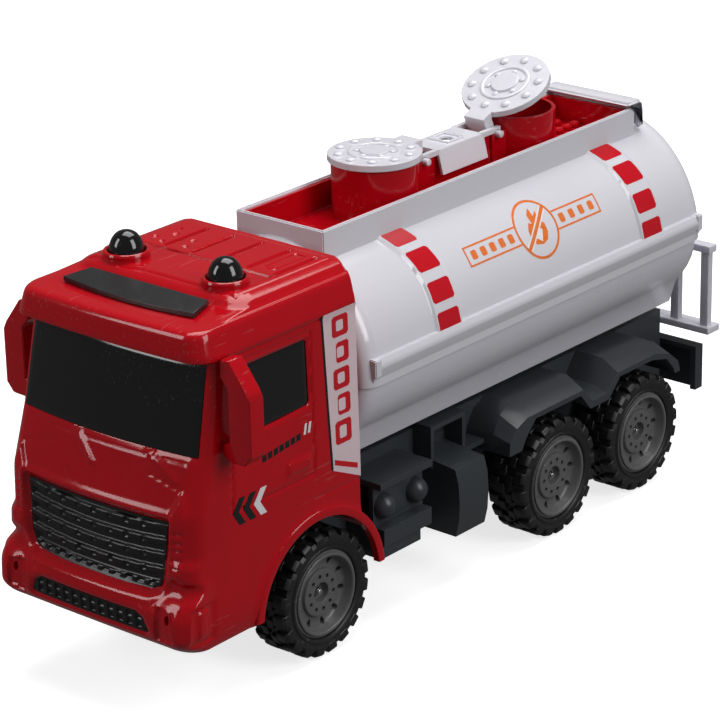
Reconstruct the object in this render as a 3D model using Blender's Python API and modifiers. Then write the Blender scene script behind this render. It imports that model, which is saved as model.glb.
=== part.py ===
"""Toy tanker truck of moulded plastic: three axles, a friction motor and two hinged hatch lids.

Metres, +Z up. The truck faces -Y and stands on Z = 0. X = 0 is its plane of symmetry, and +X is
the driver's left. Static pieces are built in place; a moving piece has its origin on its axis.
"""

from math import atan2, cos, hypot, pi, radians, sin, sqrt

import bmesh
import bpy
from mathutils import Matrix, Vector

MM = 0.001
GAP = 0.3 * MM  # between pieces that touch
RUNNING_GAP = 0.25 * MM  # around a shaft or pin that turns

# Cab
FRONT_Y = -157.5 * MM  # the bumper's foremost point
CAB_WIDTH = 88 * MM
CAB_LENGTH = 94.5 * MM
CAB_WALL = 1.8 * MM
CAB_CORNER = 7 * MM
CAB_LIFT = 2.4 * MM  # cab's lower edge over the axles
ARCH_RADIUS_CLEARANCE = 6.7 * MM
ARCH_OFFSET = 4.3 * MM  # wheel arch's centre ahead of the axle
INSERT_DEPTH = 3.4 * MM  # windows and grilles, from their face to the back of their flange
INSERT_LIP = 1.4 * MM
PEG_RADIUS = 1.2 * MM
MIRROR_REACH = 13 * MM  # cab's side to the outer edge of a mirror
MIRROR_DEPTH = 7 * MM
BEACON_RADIUS = 6.4 * MM
BEACON_SPACING = 45.6 * MM
LIGHT_BAR_LENGTH = 60 * MM
LIGHT_BAR_DEPTH = 13 * MM
LIGHT_BAR_HEIGHT = 1.8 * MM

# Each level of the cab: height over its lower edge, setback from the bumper, narrowing of each side
# and how far the middle of the front stands out over its ends
CAB_LEVELS = (
    (0, 8.2, 1.6, 0.3),
    (3, 3.8, 0.6, 0.3),
    (7, 0.6, 0.0, 1.8),
    (14, 0.0, 0.0, 3.2),
    (20, 4.2, 0.2, 3.8),
    (49, 5.9, 0.4, 3.8),
    (68, 11.8, 0.8, 3.8),
    (100, 19.0, 1.2, 3.8),
    (101, 13.7, 0.6, 1.8),
    (110, 15.5, 3.2, 1.6),
    (111, 24.5, 4.0, 1.5),
    (112.2, 39.0, 5.2, 1.0),
    (115, 42.0, 9.0, 0.6),
)
VISOR_LEVEL = 100  # over this level the inside keeps the windscreen's setback
ROOF_LEVEL = 110  # from this level up the wall lies flat

# Wheels and axles
TYRE_RADIUS = 23.8 * MM
TYRE_WIDTH = 17 * MM
TYRE_STEPS = 24
RIM_RADIUS = 16 * MM
RIM_STEPS = 16
AXLE_RADIUS = 1.5 * MM
FRONT_OVERHANG = 75.3 * MM  # bumper to front axle
REAR_AXLE_INSET = 42.8 * MM  # rear axle to the back of the tank
BOGIE_GAP = 7.1 * MM  # between the middle and rear tyres
FRONT_HUB_GAP = 2.3 * MM  # chassis beam to the inner face of a front wheel
REAR_HUB_GAP = 5 * MM

# Chassis
BEAM_HALF = 23.5 * MM
CHASSIS_WALL = 2 * MM
BEAM_FLOOR_DROP = 4 * MM  # lower edge of the beam under the axles
GUARD_CLEARANCE = 4 * MM  # tyre to mudguard
GUARD_DROP = 4.5 * MM  # from a mudguard's flat top to its outer edge
GUARD_INSET = 1.5 * MM  # rear wheels' outer faces to the mudguards' edge
GUARD_SLOPE_WIDTH = 8 * MM
BUMPER_HALF_WIDTH = 37.5 * MM
BUMPER_HEIGHT = 18.5 * MM
REAR_OVERHANG = 8.5 * MM  # back of the tank to the back of the bumper
STEP_LENGTH = 29 * MM
FUEL_BOX_LENGTH = 17 * MM
FUEL_BOX_TO_AXLE = 42 * MM
HOOP_REACH = 8.5 * MM
HOOP_RISE = 2.4 * MM
HOOP_BAR = 1.8 * MM
SIDE_BOX_HALF = 42.3 * MM
COVER_THICKNESS = 2 * MM

# Tank and hatches
CAB_TANK_GAP = 5 * MM
TANK_LENGTH = 204.5 * MM
TANK_WIDTH = 85.4 * MM
TANK_RISE = 46.2 * MM  # from the seam to the top, a little more than half the width
TANK_WALL = 1.8 * MM
TANK_STEPS = 44
BELLY_DEPTH = 33.3 * MM
BELLY_INSET = 1.2 * MM
BELLY_OVER_DECK = 1.7 * MM
SADDLE_HALF = 30.5 * MM
SADDLE_OVER_DECK = 5.5 * MM
FLANGE_WIDTH = 1.3 * MM
COAMING_HALF = 20.3 * MM
COAMING_FRONT_INSET = 4 * MM
COAMING_REAR_INSET = 16.2 * MM
COAMING_HEIGHT = 5.4 * MM  # over the top of the tank
COAMING_WALL = 1.5 * MM
TRAY_WALL = 1.4 * MM
TRAY_DROP = 5.2 * MM  # tray's floor under the top of the tank
NECK_RADIUS = 16 * MM
NECK_HEIGHT = 19.5 * MM
NECK_WALL = 1.6 * MM
HATCH_SPACING = 81.4 * MM
LID_OVERHANG = 1.2 * MM
LID_THICKNESS = 2.5 * MM
LID_SEAT = 0.4 * MM
PIN_RADIUS = 1.4 * MM
PIN_LENGTH = 19 * MM
PIN_FROM_NECK = 3.2 * MM
PIN_BELOW_NECK = 4.5 * MM
TONGUE_HALF = 4.8 * MM
TONGUE_BACK = 2.2 * MM
EAR_WIDTH = 1.9 * MM
BRIDGE_HALF = 5.6 * MM
BRACKET_THICKNESS = 1.8 * MM
BRACKET_HALF = 7 * MM
CHEEK_DEPTH = 9 * MM
CHEEK_SPLAY = 2.4 * MM
REAR_LID_OPEN = radians(25)

# Tank hood and rear guard
HOOD_HALF = 20.6 * MM
HOOD_LEG_WIDTH = 3.4 * MM
HOOD_HEIGHT = 3 * MM
GUARD_POSTS_X = (24.2 * MM, 38.3 * MM)
GUARD_POST_WIDTH = 3.8 * MM
GUARD_BAR_HALF = 43.5 * MM
GUARD_PLATE_HALF = 43.5 * MM
GUARD_PLATE_UNDER_DECK = 8 * MM
GUARD_PLATE_THICKNESS = 2.8 * MM
BUMPER_UNDER_PLATE = 6.5 * MM

# Friction motor
GEAR_MODULE = 0.7 * MM
AXLE_GEAR_TEETH = 22
IDLER_TEETH = 22
PINION_TEETH = 10
FLYWHEEL_RADIUS = 9.5 * MM
SHAFT_RADIUS = 1 * MM
MOTOR_WALL = 1.2 * MM
MOTOR_CLEARANCE = 0.6 * MM
IDLER_ANGLE = radians(30)
FLYWHEEL_ANGLE = radians(20)

# Self-tapping screws
SCREW_HEAD_RADIUS = 2.2 * MM
SCREW_RADIUS = 1 * MM
SCREW_LENGTH = 10 * MM
BOSS_RADIUS = 3.2 * MM
HEAD_CLEARANCE = 0.6 * MM  # around a head in its recess
HEAD_RECESS = 1.2 * MM

# Places that follow from the sizes
AXLE_Z = TYRE_RADIUS * cos(pi / TYRE_STEPS)
CAB_HALF = CAB_WIDTH / 2
CAB_BOTTOM_Z = AXLE_Z + CAB_LIFT
CAB_REAR_Y = FRONT_Y + CAB_LENGTH
ARCH_RADIUS = TYRE_RADIUS + ARCH_RADIUS_CLEARANCE
TANK_FRONT_Y = CAB_REAR_Y + CAB_TANK_GAP
TANK_REAR_Y = TANK_FRONT_Y + TANK_LENGTH
TANK_HALF = TANK_WIDTH / 2
FRONT_AXLE_Y = FRONT_Y + FRONT_OVERHANG
REAR_AXLE_Y = TANK_REAR_Y - REAR_AXLE_INSET
MIDDLE_AXLE_Y = REAR_AXLE_Y - 2 * TYRE_RADIUS - BOGIE_GAP
FRONT_WHEEL_FACE = BEAM_HALF + FRONT_HUB_GAP + TYRE_WIDTH
REAR_WHEEL_FACE = BEAM_HALF + REAR_HUB_GAP + TYRE_WIDTH
GUARD_HALF_WIDTH = REAR_WHEEL_FACE - GUARD_INSET
GUARD_TOP_HALF = GUARD_HALF_WIDTH - GUARD_SLOPE_WIDTH
BEAM_FLOOR_Z = AXLE_Z - BEAM_FLOOR_DROP
GUARD_EDGE_Z = AXLE_Z + TYRE_RADIUS + GUARD_CLEARANCE
DECK_Z = GUARD_EDGE_Z + GUARD_DROP + CHASSIS_WALL
SEAM_Z = DECK_Z + BELLY_OVER_DECK + BELLY_DEPTH
TANK_TOP_Z = SEAM_Z + TANK_RISE
COAMING_TOP_Z = TANK_TOP_Z + COAMING_HEIGHT
COAMING_FRONT_Y = TANK_FRONT_Y + COAMING_FRONT_INSET
COAMING_REAR_Y = TANK_REAR_Y - COAMING_REAR_INSET
HATCH_Y = (COAMING_FRONT_Y + COAMING_REAR_Y) / 2 + 1 * MM
TRAY_FLOOR_Z = TANK_TOP_Z - TRAY_DROP
NECK_TOP_Z = TRAY_FLOOR_Z + NECK_HEIGHT
LID_RADIUS = NECK_RADIUS + LID_OVERHANG
PIN_TO_LID = NECK_RADIUS + PIN_FROM_NECK
PIN_OFFSET = HATCH_SPACING / 2 - PIN_TO_LID  # from the middle of the hatches to each pin
PIN_Z = NECK_TOP_Z - PIN_BELOW_NECK
EAR_IN = TONGUE_HALF + 0.5 * MM
GUARD_PLATE_Z = DECK_Z - GUARD_PLATE_UNDER_DECK
BUMPER_TOP_Z = GUARD_PLATE_Z - BUMPER_UNDER_PLATE
CHASSIS_REAR_Y = TANK_REAR_Y + REAR_OVERHANG

for old in list(bpy.data.objects):
    bpy.data.objects.remove(old, do_unlink=True)
truck = bpy.data.collections.new("toy_tanker_truck")
cutters = bpy.data.collections.new("cutters")
bpy.context.scene.collection.children.link(truck)
bpy.context.scene.collection.children.link(cutters)


def finish(name, color, roughness, metallic=0.0):
    """A plain Principled material."""
    made = bpy.data.materials.new(name)
    made.use_nodes = True
    shader = made.node_tree.nodes["Principled BSDF"]
    shader.inputs["Base Color"].default_value = (*color, 1)
    shader.inputs["Roughness"].default_value = roughness
    shader.inputs["Metallic"].default_value = metallic
    return made


RED = finish("red_gloss_plastic", (0.56, 0.004, 0.012), 0.18)
WHITE = finish("white_gloss_plastic", (0.82, 0.82, 0.86), 0.22)
MILKY = finish("milky_plastic", (0.7, 0.7, 0.82), 0.3)
BLACK = finish("black_gloss_plastic", (0.008, 0.008, 0.009), 0.12)
SATIN = finish("black_satin_plastic", (0.016, 0.016, 0.017), 0.4)
SLATE = finish("slate_plastic", (0.045, 0.05, 0.056), 0.38)
GREY = finish("grey_plastic", (0.11, 0.11, 0.115), 0.35)
TYRE = finish("tyre", (0.012, 0.012, 0.012), 0.6)
NATURAL = finish("natural_plastic", (0.6, 0.58, 0.5), 0.4)
STEEL = finish("steel", (0.6, 0.6, 0.62), 0.3, 1.0)


def add(name, mesh, surface, matrix=None):
    """Links a mesh as a piece of the truck or, with no surface, as a cutter."""
    obj = bpy.data.objects.new(name, mesh)
    if surface is None:
        cutters.objects.link(obj)
        obj.hide_render = True
        obj.display_type = "WIRE"
    else:
        truck.objects.link(obj)
        mesh.materials.append(surface)
    if matrix is not None:
        obj.matrix_world = matrix
    return obj


def mesh_of(name, shape):
    """A mesh from a bmesh, smooth with sharp edges over 35 degrees."""
    mesh = bpy.data.meshes.new(name)
    shape.to_mesh(mesh)
    shape.free()
    mesh.shade_smooth()
    mesh.set_sharp_from_angle(angle=radians(35))
    return mesh


def box(name, low, high, surface=None):
    """A box between two corners."""
    low, high = Vector(low), Vector(high)
    shape = bmesh.new()
    bmesh.ops.create_cube(shape, size=1)
    bmesh.ops.scale(shape, verts=shape.verts, vec=high - low)
    return add(name, mesh_of(name, shape), surface, Matrix.Translation((low + high) / 2))


def rod(name, radius, start, end, surface=None, steps=16, origin=None):
    """A round bar between two points, whose object sits at its middle or at a given origin."""
    start, end = Vector(start), Vector(end)
    turn = (end - start).to_track_quat("Z", "Y").to_matrix().to_4x4()
    place = Matrix.Translation((start + end) / 2) @ turn
    shape = bmesh.new()
    bmesh.ops.create_cone(
        shape, cap_ends=True, segments=steps, radius1=radius, radius2=radius, depth=(end - start).length
    )
    home = place if origin is None else Matrix.Translation(Vector(origin))
    bmesh.ops.transform(shape, matrix=home.inverted() @ place, verts=shape.verts)
    return add(name, mesh_of(name, shape), surface, home)


def ball(name, radius, centre, surface=None):
    """A sphere."""
    shape = bmesh.new()
    bmesh.ops.create_uvsphere(shape, u_segments=14, v_segments=8, radius=radius)
    return add(name, mesh_of(name, shape), surface, Matrix.Translation(Vector(centre)))


def turned(name, profile, matrix, surface, steps):
    """A profile of (radius, height) points turned about its object's Z axis by a Screw modifier."""
    shape = bmesh.new()
    points = [shape.verts.new((radius, 0, height)) for radius, height in profile]
    ends = points[1:] + points[:1] if profile[0][0] and profile[-1][0] else points[1:]
    for here, there in zip(points, ends):
        shape.edges.new((here, there))
    obj = add(name, mesh_of(name, shape), surface, matrix)
    screw = obj.modifiers.new("Screw", "SCREW")
    screw.steps = screw.render_steps = steps
    screw.use_merge_vertices = True
    screw.merge_threshold = 1e-6
    return obj


AXES = {  # columns: where the outline's first and second coordinates and its depth point
    "X": Matrix(((0, 0, 1, 0), (1, 0, 0, 0), (0, 1, 0, 0), (0, 0, 0, 1))),
    "Y": Matrix(((1, 0, 0, 0), (0, 0, -1, 0), (0, 1, 0, 0), (0, 0, 0, 1))),
    "Z": Matrix.Identity(4),
}


def prism(name, outline, axis, low, high, surface=None, origin=(0, 0, 0)):
    """A flat outline, of (y, z), (x, z) or (x, y) points, made solid from low to high along an axis."""
    curve = bpy.data.curves.new(name, "CURVE")
    curve.dimensions = "2D"
    curve.fill_mode = "BOTH"
    curve.extrude = (high - low) / 2
    spline = curve.splines.new("POLY")
    spline.points.add(len(outline) - 1)
    for point, (first, second) in zip(spline.points, outline):
        point.co = (first, second, 0, 1)
    spline.use_cyclic_u = True
    flat = bpy.data.objects.new(name + "_outline", curve)
    cutters.objects.link(flat)
    graph = bpy.context.evaluated_depsgraph_get()
    raw = bpy.data.meshes.new_from_object(flat.evaluated_get(graph))
    bpy.data.objects.remove(flat, do_unlink=True)
    shape = bmesh.new()
    shape.from_mesh(raw)
    bmesh.ops.remove_doubles(shape, verts=shape.verts, dist=1e-6)
    middle = {"X": ((low + high) / 2, 0, 0), "Y": (0, (low + high) / 2, 0), "Z": (0, 0, (low + high) / 2)}
    place = Matrix.Translation(Vector(middle[axis])) @ AXES[axis]
    bmesh.ops.transform(shape, matrix=place, verts=shape.verts)
    bmesh.ops.recalc_face_normals(shape, faces=shape.faces)
    return add(name, mesh_of(name, shape), surface, Matrix.Translation(Vector(origin)))


def loft(name, rings, surface=None):
    """A skin over closed rings of equally many points, capped at both ends."""
    shape = bmesh.new()
    loops = [[shape.verts.new(point) for point in ring] for ring in rings]
    for lower, upper in zip(loops, loops[1:]):
        count = len(lower)
        for i in range(count):
            shape.faces.new((lower[i], lower[(i + 1) % count], upper[(i + 1) % count], upper[i]))
    shape.faces.new(loops[0])
    shape.faces.new(loops[-1])
    bmesh.ops.recalc_face_normals(shape, faces=shape.faces)
    return add(name, mesh_of(name, shape), surface)


def combine(obj, operation, tools):
    """Adds a Boolean for each tool, which becomes a cutter if it isn't one yet."""
    for tool in tools:
        modifier = obj.modifiers.new(tool.name, "BOOLEAN")
        modifier.operation = operation
        modifier.object = tool
    return obj


def cut(obj, *tools):
    return combine(obj, "DIFFERENCE", tools)


def join(obj, *tools):
    return combine(obj, "UNION", tools)


def keep(obj, *tools):
    return combine(obj, "INTERSECT", tools)


def both_sides(name, low, high):
    """The same box on the left and on the right."""
    made = []
    for side in (1, -1):
        corners = sorted((low[0] * side, high[0] * side))
        made.append(box(f"{name}_{side}", (corners[0], *low[1:]), (corners[1], *high[1:])))
    return made


# Cab shell ------------------------------------------------------------------------------------


def cab_solid(name, inset=0.0, surface=None):
    """The cab's outer form, or the same form moved inwards. The moved one runs out of the bottom."""
    visor_setback = next(setback for height, setback, *_ in CAB_LEVELS if height == VISOR_LEVEL)
    rings = []
    for height, setback, narrowing, bow in CAB_LEVELS:
        if inset and height > VISOR_LEVEL:
            setback = max(setback, visor_setback)
        half = CAB_HALF - narrowing * MM - inset
        front = FRONT_Y + setback * MM + inset
        rear = CAB_REAR_Y - inset
        z = CAB_BOTTOM_Z + height * MM
        if inset and height == CAB_LEVELS[0][0]:
            z -= 2 * MM
        if height >= ROOF_LEVEL:
            z -= inset
        corner = CAB_CORNER - inset
        flat = half - corner
        side_y = front + bow * MM * (flat / half) ** 2 + corner
        left = [(flat * i / 4, front + bow * MM * (flat * i / 4 / half) ** 2) for i in range(5)]
        left += [
            (flat + corner * sin(radians(a)), side_y - corner * cos(radians(a))) for a in (22.5, 45, 67.5, 90)
        ]
        left += [(half, rear - 2 * MM), (half - 2 * MM, rear)]
        right = [(-x, y) for x, y in reversed(left[1:])]
        rings.append([(x, y, z) for x, y in left + right])
    return loft(name, rings, surface)


def level(height):
    """World height of a level over the cab's lower edge, in millimetres."""
    return CAB_BOTTOM_Z + height * MM


def rounded(points, radius):
    """An outline whose corners are cut to short chamfers."""
    result = []
    for i, here in enumerate(points):
        here = Vector(here)
        for there in (Vector(points[i - 1]), Vector(points[(i + 1) % len(points)])):
            result.append(tuple(here + (there - here).normalized() * radius))
    return result


def grown(points, by):
    """An outline moved outwards from its middle by a distance along each axis."""
    middle = sum((Vector(point) for point in points), Vector((0, 0))) / len(points)
    return [tuple(Vector(p) + by * Vector([(1 if c > m else -1) for c, m in zip(p, middle)])) for p in points]


WINDSCREEN = rounded(
    [
        (-CAB_HALF + 3.6 * MM, level(68)),
        (CAB_HALF - 3.6 * MM, level(68)),
        (CAB_HALF - 4.4 * MM, level(99)),
        (-CAB_HALF + 4.4 * MM, level(99)),
    ],
    2 * MM,
)
SIDE_WINDOW = rounded(
    [
        (CAB_REAR_Y - 63.4 * MM, level(70)),
        (CAB_REAR_Y - 26 * MM, level(71.5)),
        (CAB_REAR_Y - 26.4 * MM, level(95)),
        (CAB_REAR_Y - 61 * MM, level(95)),
    ],
    2 * MM,
)
GRILLE = [
    (-CAB_HALF + 14.6 * MM, level(22.5)),
    (-CAB_HALF * 0.35, level(20.8)),
    (CAB_HALF * 0.35, level(20.8)),
    (CAB_HALF - 14.6 * MM, level(22.5)),
    (CAB_HALF - 11.4 * MM, level(46.4)),
    (-CAB_HALF + 11.4 * MM, level(46.4)),
]
LOWER_GRILLE = [
    (-CAB_HALF + 16.4 * MM, level(6.5)),
    (CAB_HALF - 16.4 * MM, level(6.5)),
    (CAB_HALF - 20 * MM, level(13.5)),
    (-CAB_HALF + 20 * MM, level(13.5)),
]
NOSE = (FRONT_Y - 5 * MM, FRONT_Y + 26 * MM)  # how far the front openings run along Y

cab_shell = cab_solid("cab_shell", surface=RED)
arch_y = FRONT_AXLE_Y - ARCH_OFFSET
for side in (1, -1):
    fender = rod(
        f"fender_{side}",
        ARCH_RADIUS + 3.5 * MM,
        (side * (CAB_HALF - CAB_WALL), arch_y, AXLE_Z),
        (side * CAB_HALF, arch_y, AXLE_Z),
        steps=32,
    )
    cut(fender, box(f"fender_floor_{side}", (-1, -1, -1), (1, 1, CAB_BOTTOM_Z)))
    join(cab_shell, fender)
for side in (1, -1):
    x, y = side * BEACON_SPACING / 2, CAB_REAR_Y - 43.4 * MM
    join(cab_shell, rod(f"beacon_collar_{side}", 8 * MM, (x, y, level(113)), (x, y, level(118)), steps=20))
cut(cab_shell, cab_solid("cab_hollow", CAB_WALL))
for side in (1, -1):
    x, y = side * (CAB_HALF - 8 * MM), FRONT_Y + 20 * MM
    post = rod(f"cab_post_{side}", BOSS_RADIUS, (x, y, level(3.4)), (x, y, level(40)), steps=12)
    rib_x = sorted((x, side * (CAB_HALF - CAB_WALL / 2)))
    rib_low = (rib_x[0], y - 0.8 * MM, level(3.4))
    join(post, box(f"cab_rib_{side}", rib_low, (rib_x[1], y + 0.8 * MM, level(40))))
    cut(post, rod(f"cab_post_hole_{side}", SCREW_RADIUS + GAP, (x, y, level(0)), (x, y, level(16)), steps=10))
    join(cab_shell, post)
    x, y = side * BEACON_SPACING / 2, CAB_REAR_Y - 43.4 * MM
    cut(cab_shell, rod(f"beacon_hole_{side}", 4.3 * MM, (x, y, level(108)), (x, y, level(119)), steps=16))
cut(
    cab_shell,
    rod(
        "wheel_arch",
        ARCH_RADIUS,
        (-CAB_HALF * 1.2, arch_y, AXLE_Z),
        (CAB_HALF * 1.2, arch_y, AXLE_Z),
        steps=32,
    ),
    prism("windscreen_opening", WINDSCREEN, "Y", *NOSE),
    prism("grille_opening", GRILLE, "Y", *NOSE),
    prism("lower_grille_opening", LOWER_GRILLE, "Y", *NOSE),
    prism("side_window_opening", SIDE_WINDOW, "X", -CAB_HALF * 1.2, CAB_HALF * 1.2),
    box(
        "beam_passage",
        (-BEAM_HALF - GAP, CAB_REAR_Y - 4 * MM, 0),
        (BEAM_HALF + GAP, CAB_REAR_Y + 4 * MM, DECK_Z + GAP),
    ),
)


def insert(name, outline, axis, low, high, surface, sunk=0.5 * MM):
    """A pane or grille that follows the cab's face, with a flange behind the edge of its opening."""
    small = [tuple(point) for point in grown(outline, -GAP)]
    piece = prism(name, small, axis, low, high, surface)
    flange = prism(name + "_flange", grown(outline, INSERT_LIP), axis, low, high)
    keep(flange, cab_solid(name + "_flange_face", CAB_WALL + GAP))
    join(keep(piece, cab_solid(name + "_face", sunk)), flange)
    return cut(piece, cab_solid(name + "_back", INSERT_DEPTH))


insert("windscreen", WINDSCREEN, "Y", *NOSE, BLACK)
insert("side_window_left", SIDE_WINDOW, "X", CAB_HALF * 0.6, CAB_HALF * 1.2, BLACK)
insert("side_window_right", SIDE_WINDOW, "X", -CAB_HALF * 1.2, -CAB_HALF * 0.6, BLACK)
insert("front_grille", GRILLE, "Y", *NOSE, SATIN, 0.8 * MM)
insert("lower_grille", LOWER_GRILLE, "Y", *NOSE, SATIN, 0.8 * MM)

# Roof light bar, on the slope between the visor and the roof
slope_low = Vector((0, FRONT_Y + CAB_LEVELS[-3][1] * MM, level(CAB_LEVELS[-3][0])))
slope_high = Vector((0, FRONT_Y + CAB_LEVELS[-2][1] * MM, level(CAB_LEVELS[-2][0])))
slope = atan2(slope_high.z - slope_low.z, slope_high.y - slope_low.y)
bar_half, bar_back = LIGHT_BAR_LENGTH / 2, LIGHT_BAR_DEPTH / 2
bar_front = [(bar_half * i / 4, -bar_back + 2.4 * MM * (i / 4) ** 2) for i in range(-4, 5)]
light_bar = prism(
    "roof_light_bar",
    bar_front + [(bar_half - 3 * MM, bar_back), (3 * MM - bar_half, bar_back)],
    "Z",
    GAP,
    GAP + LIGHT_BAR_HEIGHT,
    SATIN,
)
light_bar.matrix_world = Matrix.Translation((slope_low + slope_high) / 2) @ Matrix.Rotation(slope, 4, "X")
bevel = light_bar.modifiers.new("Bevel", "BEVEL")
bevel.width = 0.6 * MM
bevel.segments = 1
bevel.limit_method = "ANGLE"

# Beacons: a dome on a stem that goes through the collar
for side, name in ((1, "beacon_left"), (-1, "beacon_right")):
    dome = [(BEACON_RADIUS * sin(radians(a)), BEACON_RADIUS * cos(radians(a))) for a in range(0, 91, 15)]
    stem = [(4 * MM, 0), (4 * MM, -7 * MM), (0, -7 * MM)]
    place = Vector((side * BEACON_SPACING / 2, CAB_REAR_Y - 43.4 * MM, level(118) + GAP))
    turned(name, dome + stem, Matrix.Translation(place), BLACK, 16)

# Mirrors: a housing on two arms, plugged into the cab's sides
mirror_y = CAB_REAR_Y - 67.5 * MM
for side, name in ((1, "mirror_left"), (-1, "mirror_right")):
    near, far = CAB_HALF + GAP, CAB_HALF + MIRROR_REACH
    shape = [
        (near, level(101.5)),
        (near, level(95.5)),
        (near + 3.2 * MM, level(92)),
        (near + 3.2 * MM, level(73)),
        (near, level(72)),
        (near, level(68)),
        (near + 4 * MM, level(66.3)),
        (far - 3 * MM, level(66.5)),
        (far, level(70)),
        (far, level(89.5)),
        (far - 1.5 * MM, level(92.5)),
        (near + 4 * MM, level(102)),
    ]
    outline = [(x * side, z) for x, z in shape]
    mirror = prism(name, outline, "Y", mirror_y - MIRROR_DEPTH / 2, mirror_y + MIRROR_DEPTH / 2, RED)
    for arm in (98.5, 70):
        peg_y = mirror_y + 0.8 * MM
        ends = [(side * (near + 2 * MM), peg_y, level(arm)), (side * (near - 4 * MM), peg_y, level(arm))]
        join(mirror, rod(f"{name}_peg_{arm}", PEG_RADIUS, *ends, steps=10))
        cut(cab_shell, rod(f"{name}_peg_hole_{arm}", PEG_RADIUS + GAP, *ends, steps=10))


# Tank ------------------------------------------------------------------------------------------


def tank_solid(name, half, rise, inset=0.0, surface=None):
    """The tank's form with rounded ends, an ellipse in section, centred on the seam."""
    ends = ((0, 5), (1, 2.6), (3, 0.9), (6.5, 0))
    stations = [(TANK_FRONT_Y + inset + a * MM, b * MM) for a, b in ends]
    stations += [(TANK_REAR_Y - inset - a * MM, b * MM) for a, b in reversed(ends)]
    rings = []
    for y, shrink in stations:
        angles = [2 * pi * i / TANK_STEPS for i in range(TANK_STEPS)]
        away = inset + shrink
        rings.append([((half - away) * cos(t), y, SEAM_Z + (rise - away) * sin(t)) for t in angles])
    return loft(name, rings, surface)


def tank_skin_z(x):
    """The height of the upper shell's skin at a distance from its middle."""
    return SEAM_Z + TANK_RISE * sqrt(1 - (x / TANK_HALF) ** 2)


shoulder_z = tank_skin_z(COAMING_HALF)
opening_half = COAMING_HALF - COAMING_WALL
tank_upper_shell = tank_solid("tank_upper_shell", TANK_HALF, TANK_RISE, surface=WHITE)
join(
    tank_upper_shell,
    box(
        "coaming",
        (-COAMING_HALF, COAMING_FRONT_Y, shoulder_z - 4 * MM),
        (COAMING_HALF, COAMING_REAR_Y, COAMING_TOP_Z),
    ),
)
for side in (1, -1):
    edge = TANK_HALF + FLANGE_WIDTH
    profile = [(-3, 0.15), (-1.1, 2.4), (0, 6), (-1.4, 9.5), (-5, 9.5)]
    outline = [(side * (edge + a * MM), SEAM_Z + b * MM) for a, b in profile]
    flange_y = (TANK_FRONT_Y + 3 * MM, TANK_REAR_Y - 3 * MM)
    join(tank_upper_shell, prism(f"seam_flange_{side}", outline, "Y", *flange_y))
cut(
    tank_upper_shell,
    tank_solid("upper_hollow", TANK_HALF, TANK_RISE, TANK_WALL),
    box("below_seam", (-1, -1, -1), (1, 1, SEAM_Z + GAP / 2)),
    box(
        "coaming_opening",
        (-opening_half, COAMING_FRONT_Y + COAMING_WALL, SEAM_Z + TANK_HALF / 2),
        (opening_half, COAMING_REAR_Y - COAMING_WALL, COAMING_TOP_Z + 5 * MM),
    ),
)

tank_lower_shell = tank_solid("tank_lower_shell", TANK_HALF - BELLY_INSET, BELLY_DEPTH, surface=WHITE)
saddle_y = (TANK_FRONT_Y + 4 * MM, TANK_REAR_Y - 4 * MM)
saddle_z = DECK_Z + SADDLE_OVER_DECK
for side in (1, -1):
    top = SEAM_Z - BELLY_DEPTH * 0.5
    profile = [(3, top), (-1, saddle_z), (-3, saddle_z), (0.5, top)]
    outline = [(side * (SADDLE_HALF + a * MM), z) for a, z in profile]
    join(tank_lower_shell, prism(f"saddle_rail_{side}", outline, "Y", *saddle_y))
cut(
    tank_lower_shell,
    tank_solid("lower_hollow", TANK_HALF - BELLY_INSET, BELLY_DEPTH, TANK_WALL),
    box("above_seam", (-1, -1, SEAM_Z - GAP / 2), (1, 1, 1)),
)
tank_screws = [
    (side * 12 * MM, y) for y in (TANK_FRONT_Y + 30 * MM, TANK_REAR_Y - 30 * MM) for side in (1, -1)
]
for i, (x, y) in enumerate(tank_screws):
    boss = rod(f"tank_boss_{i}", BOSS_RADIUS, (x, y, DECK_Z + GAP), (x, y, DECK_Z + 14 * MM), steps=12)
    ends = ((x, y, DECK_Z - 5 * MM), (x, y, DECK_Z + 11 * MM))
    cut(join(tank_lower_shell, boss), rod(f"tank_boss_hole_{i}", SCREW_RADIUS + GAP, *ends, steps=10))

# Hatches: one red insert holds the tray, two necks, the bridge between them and the pins' ears -----

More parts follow.
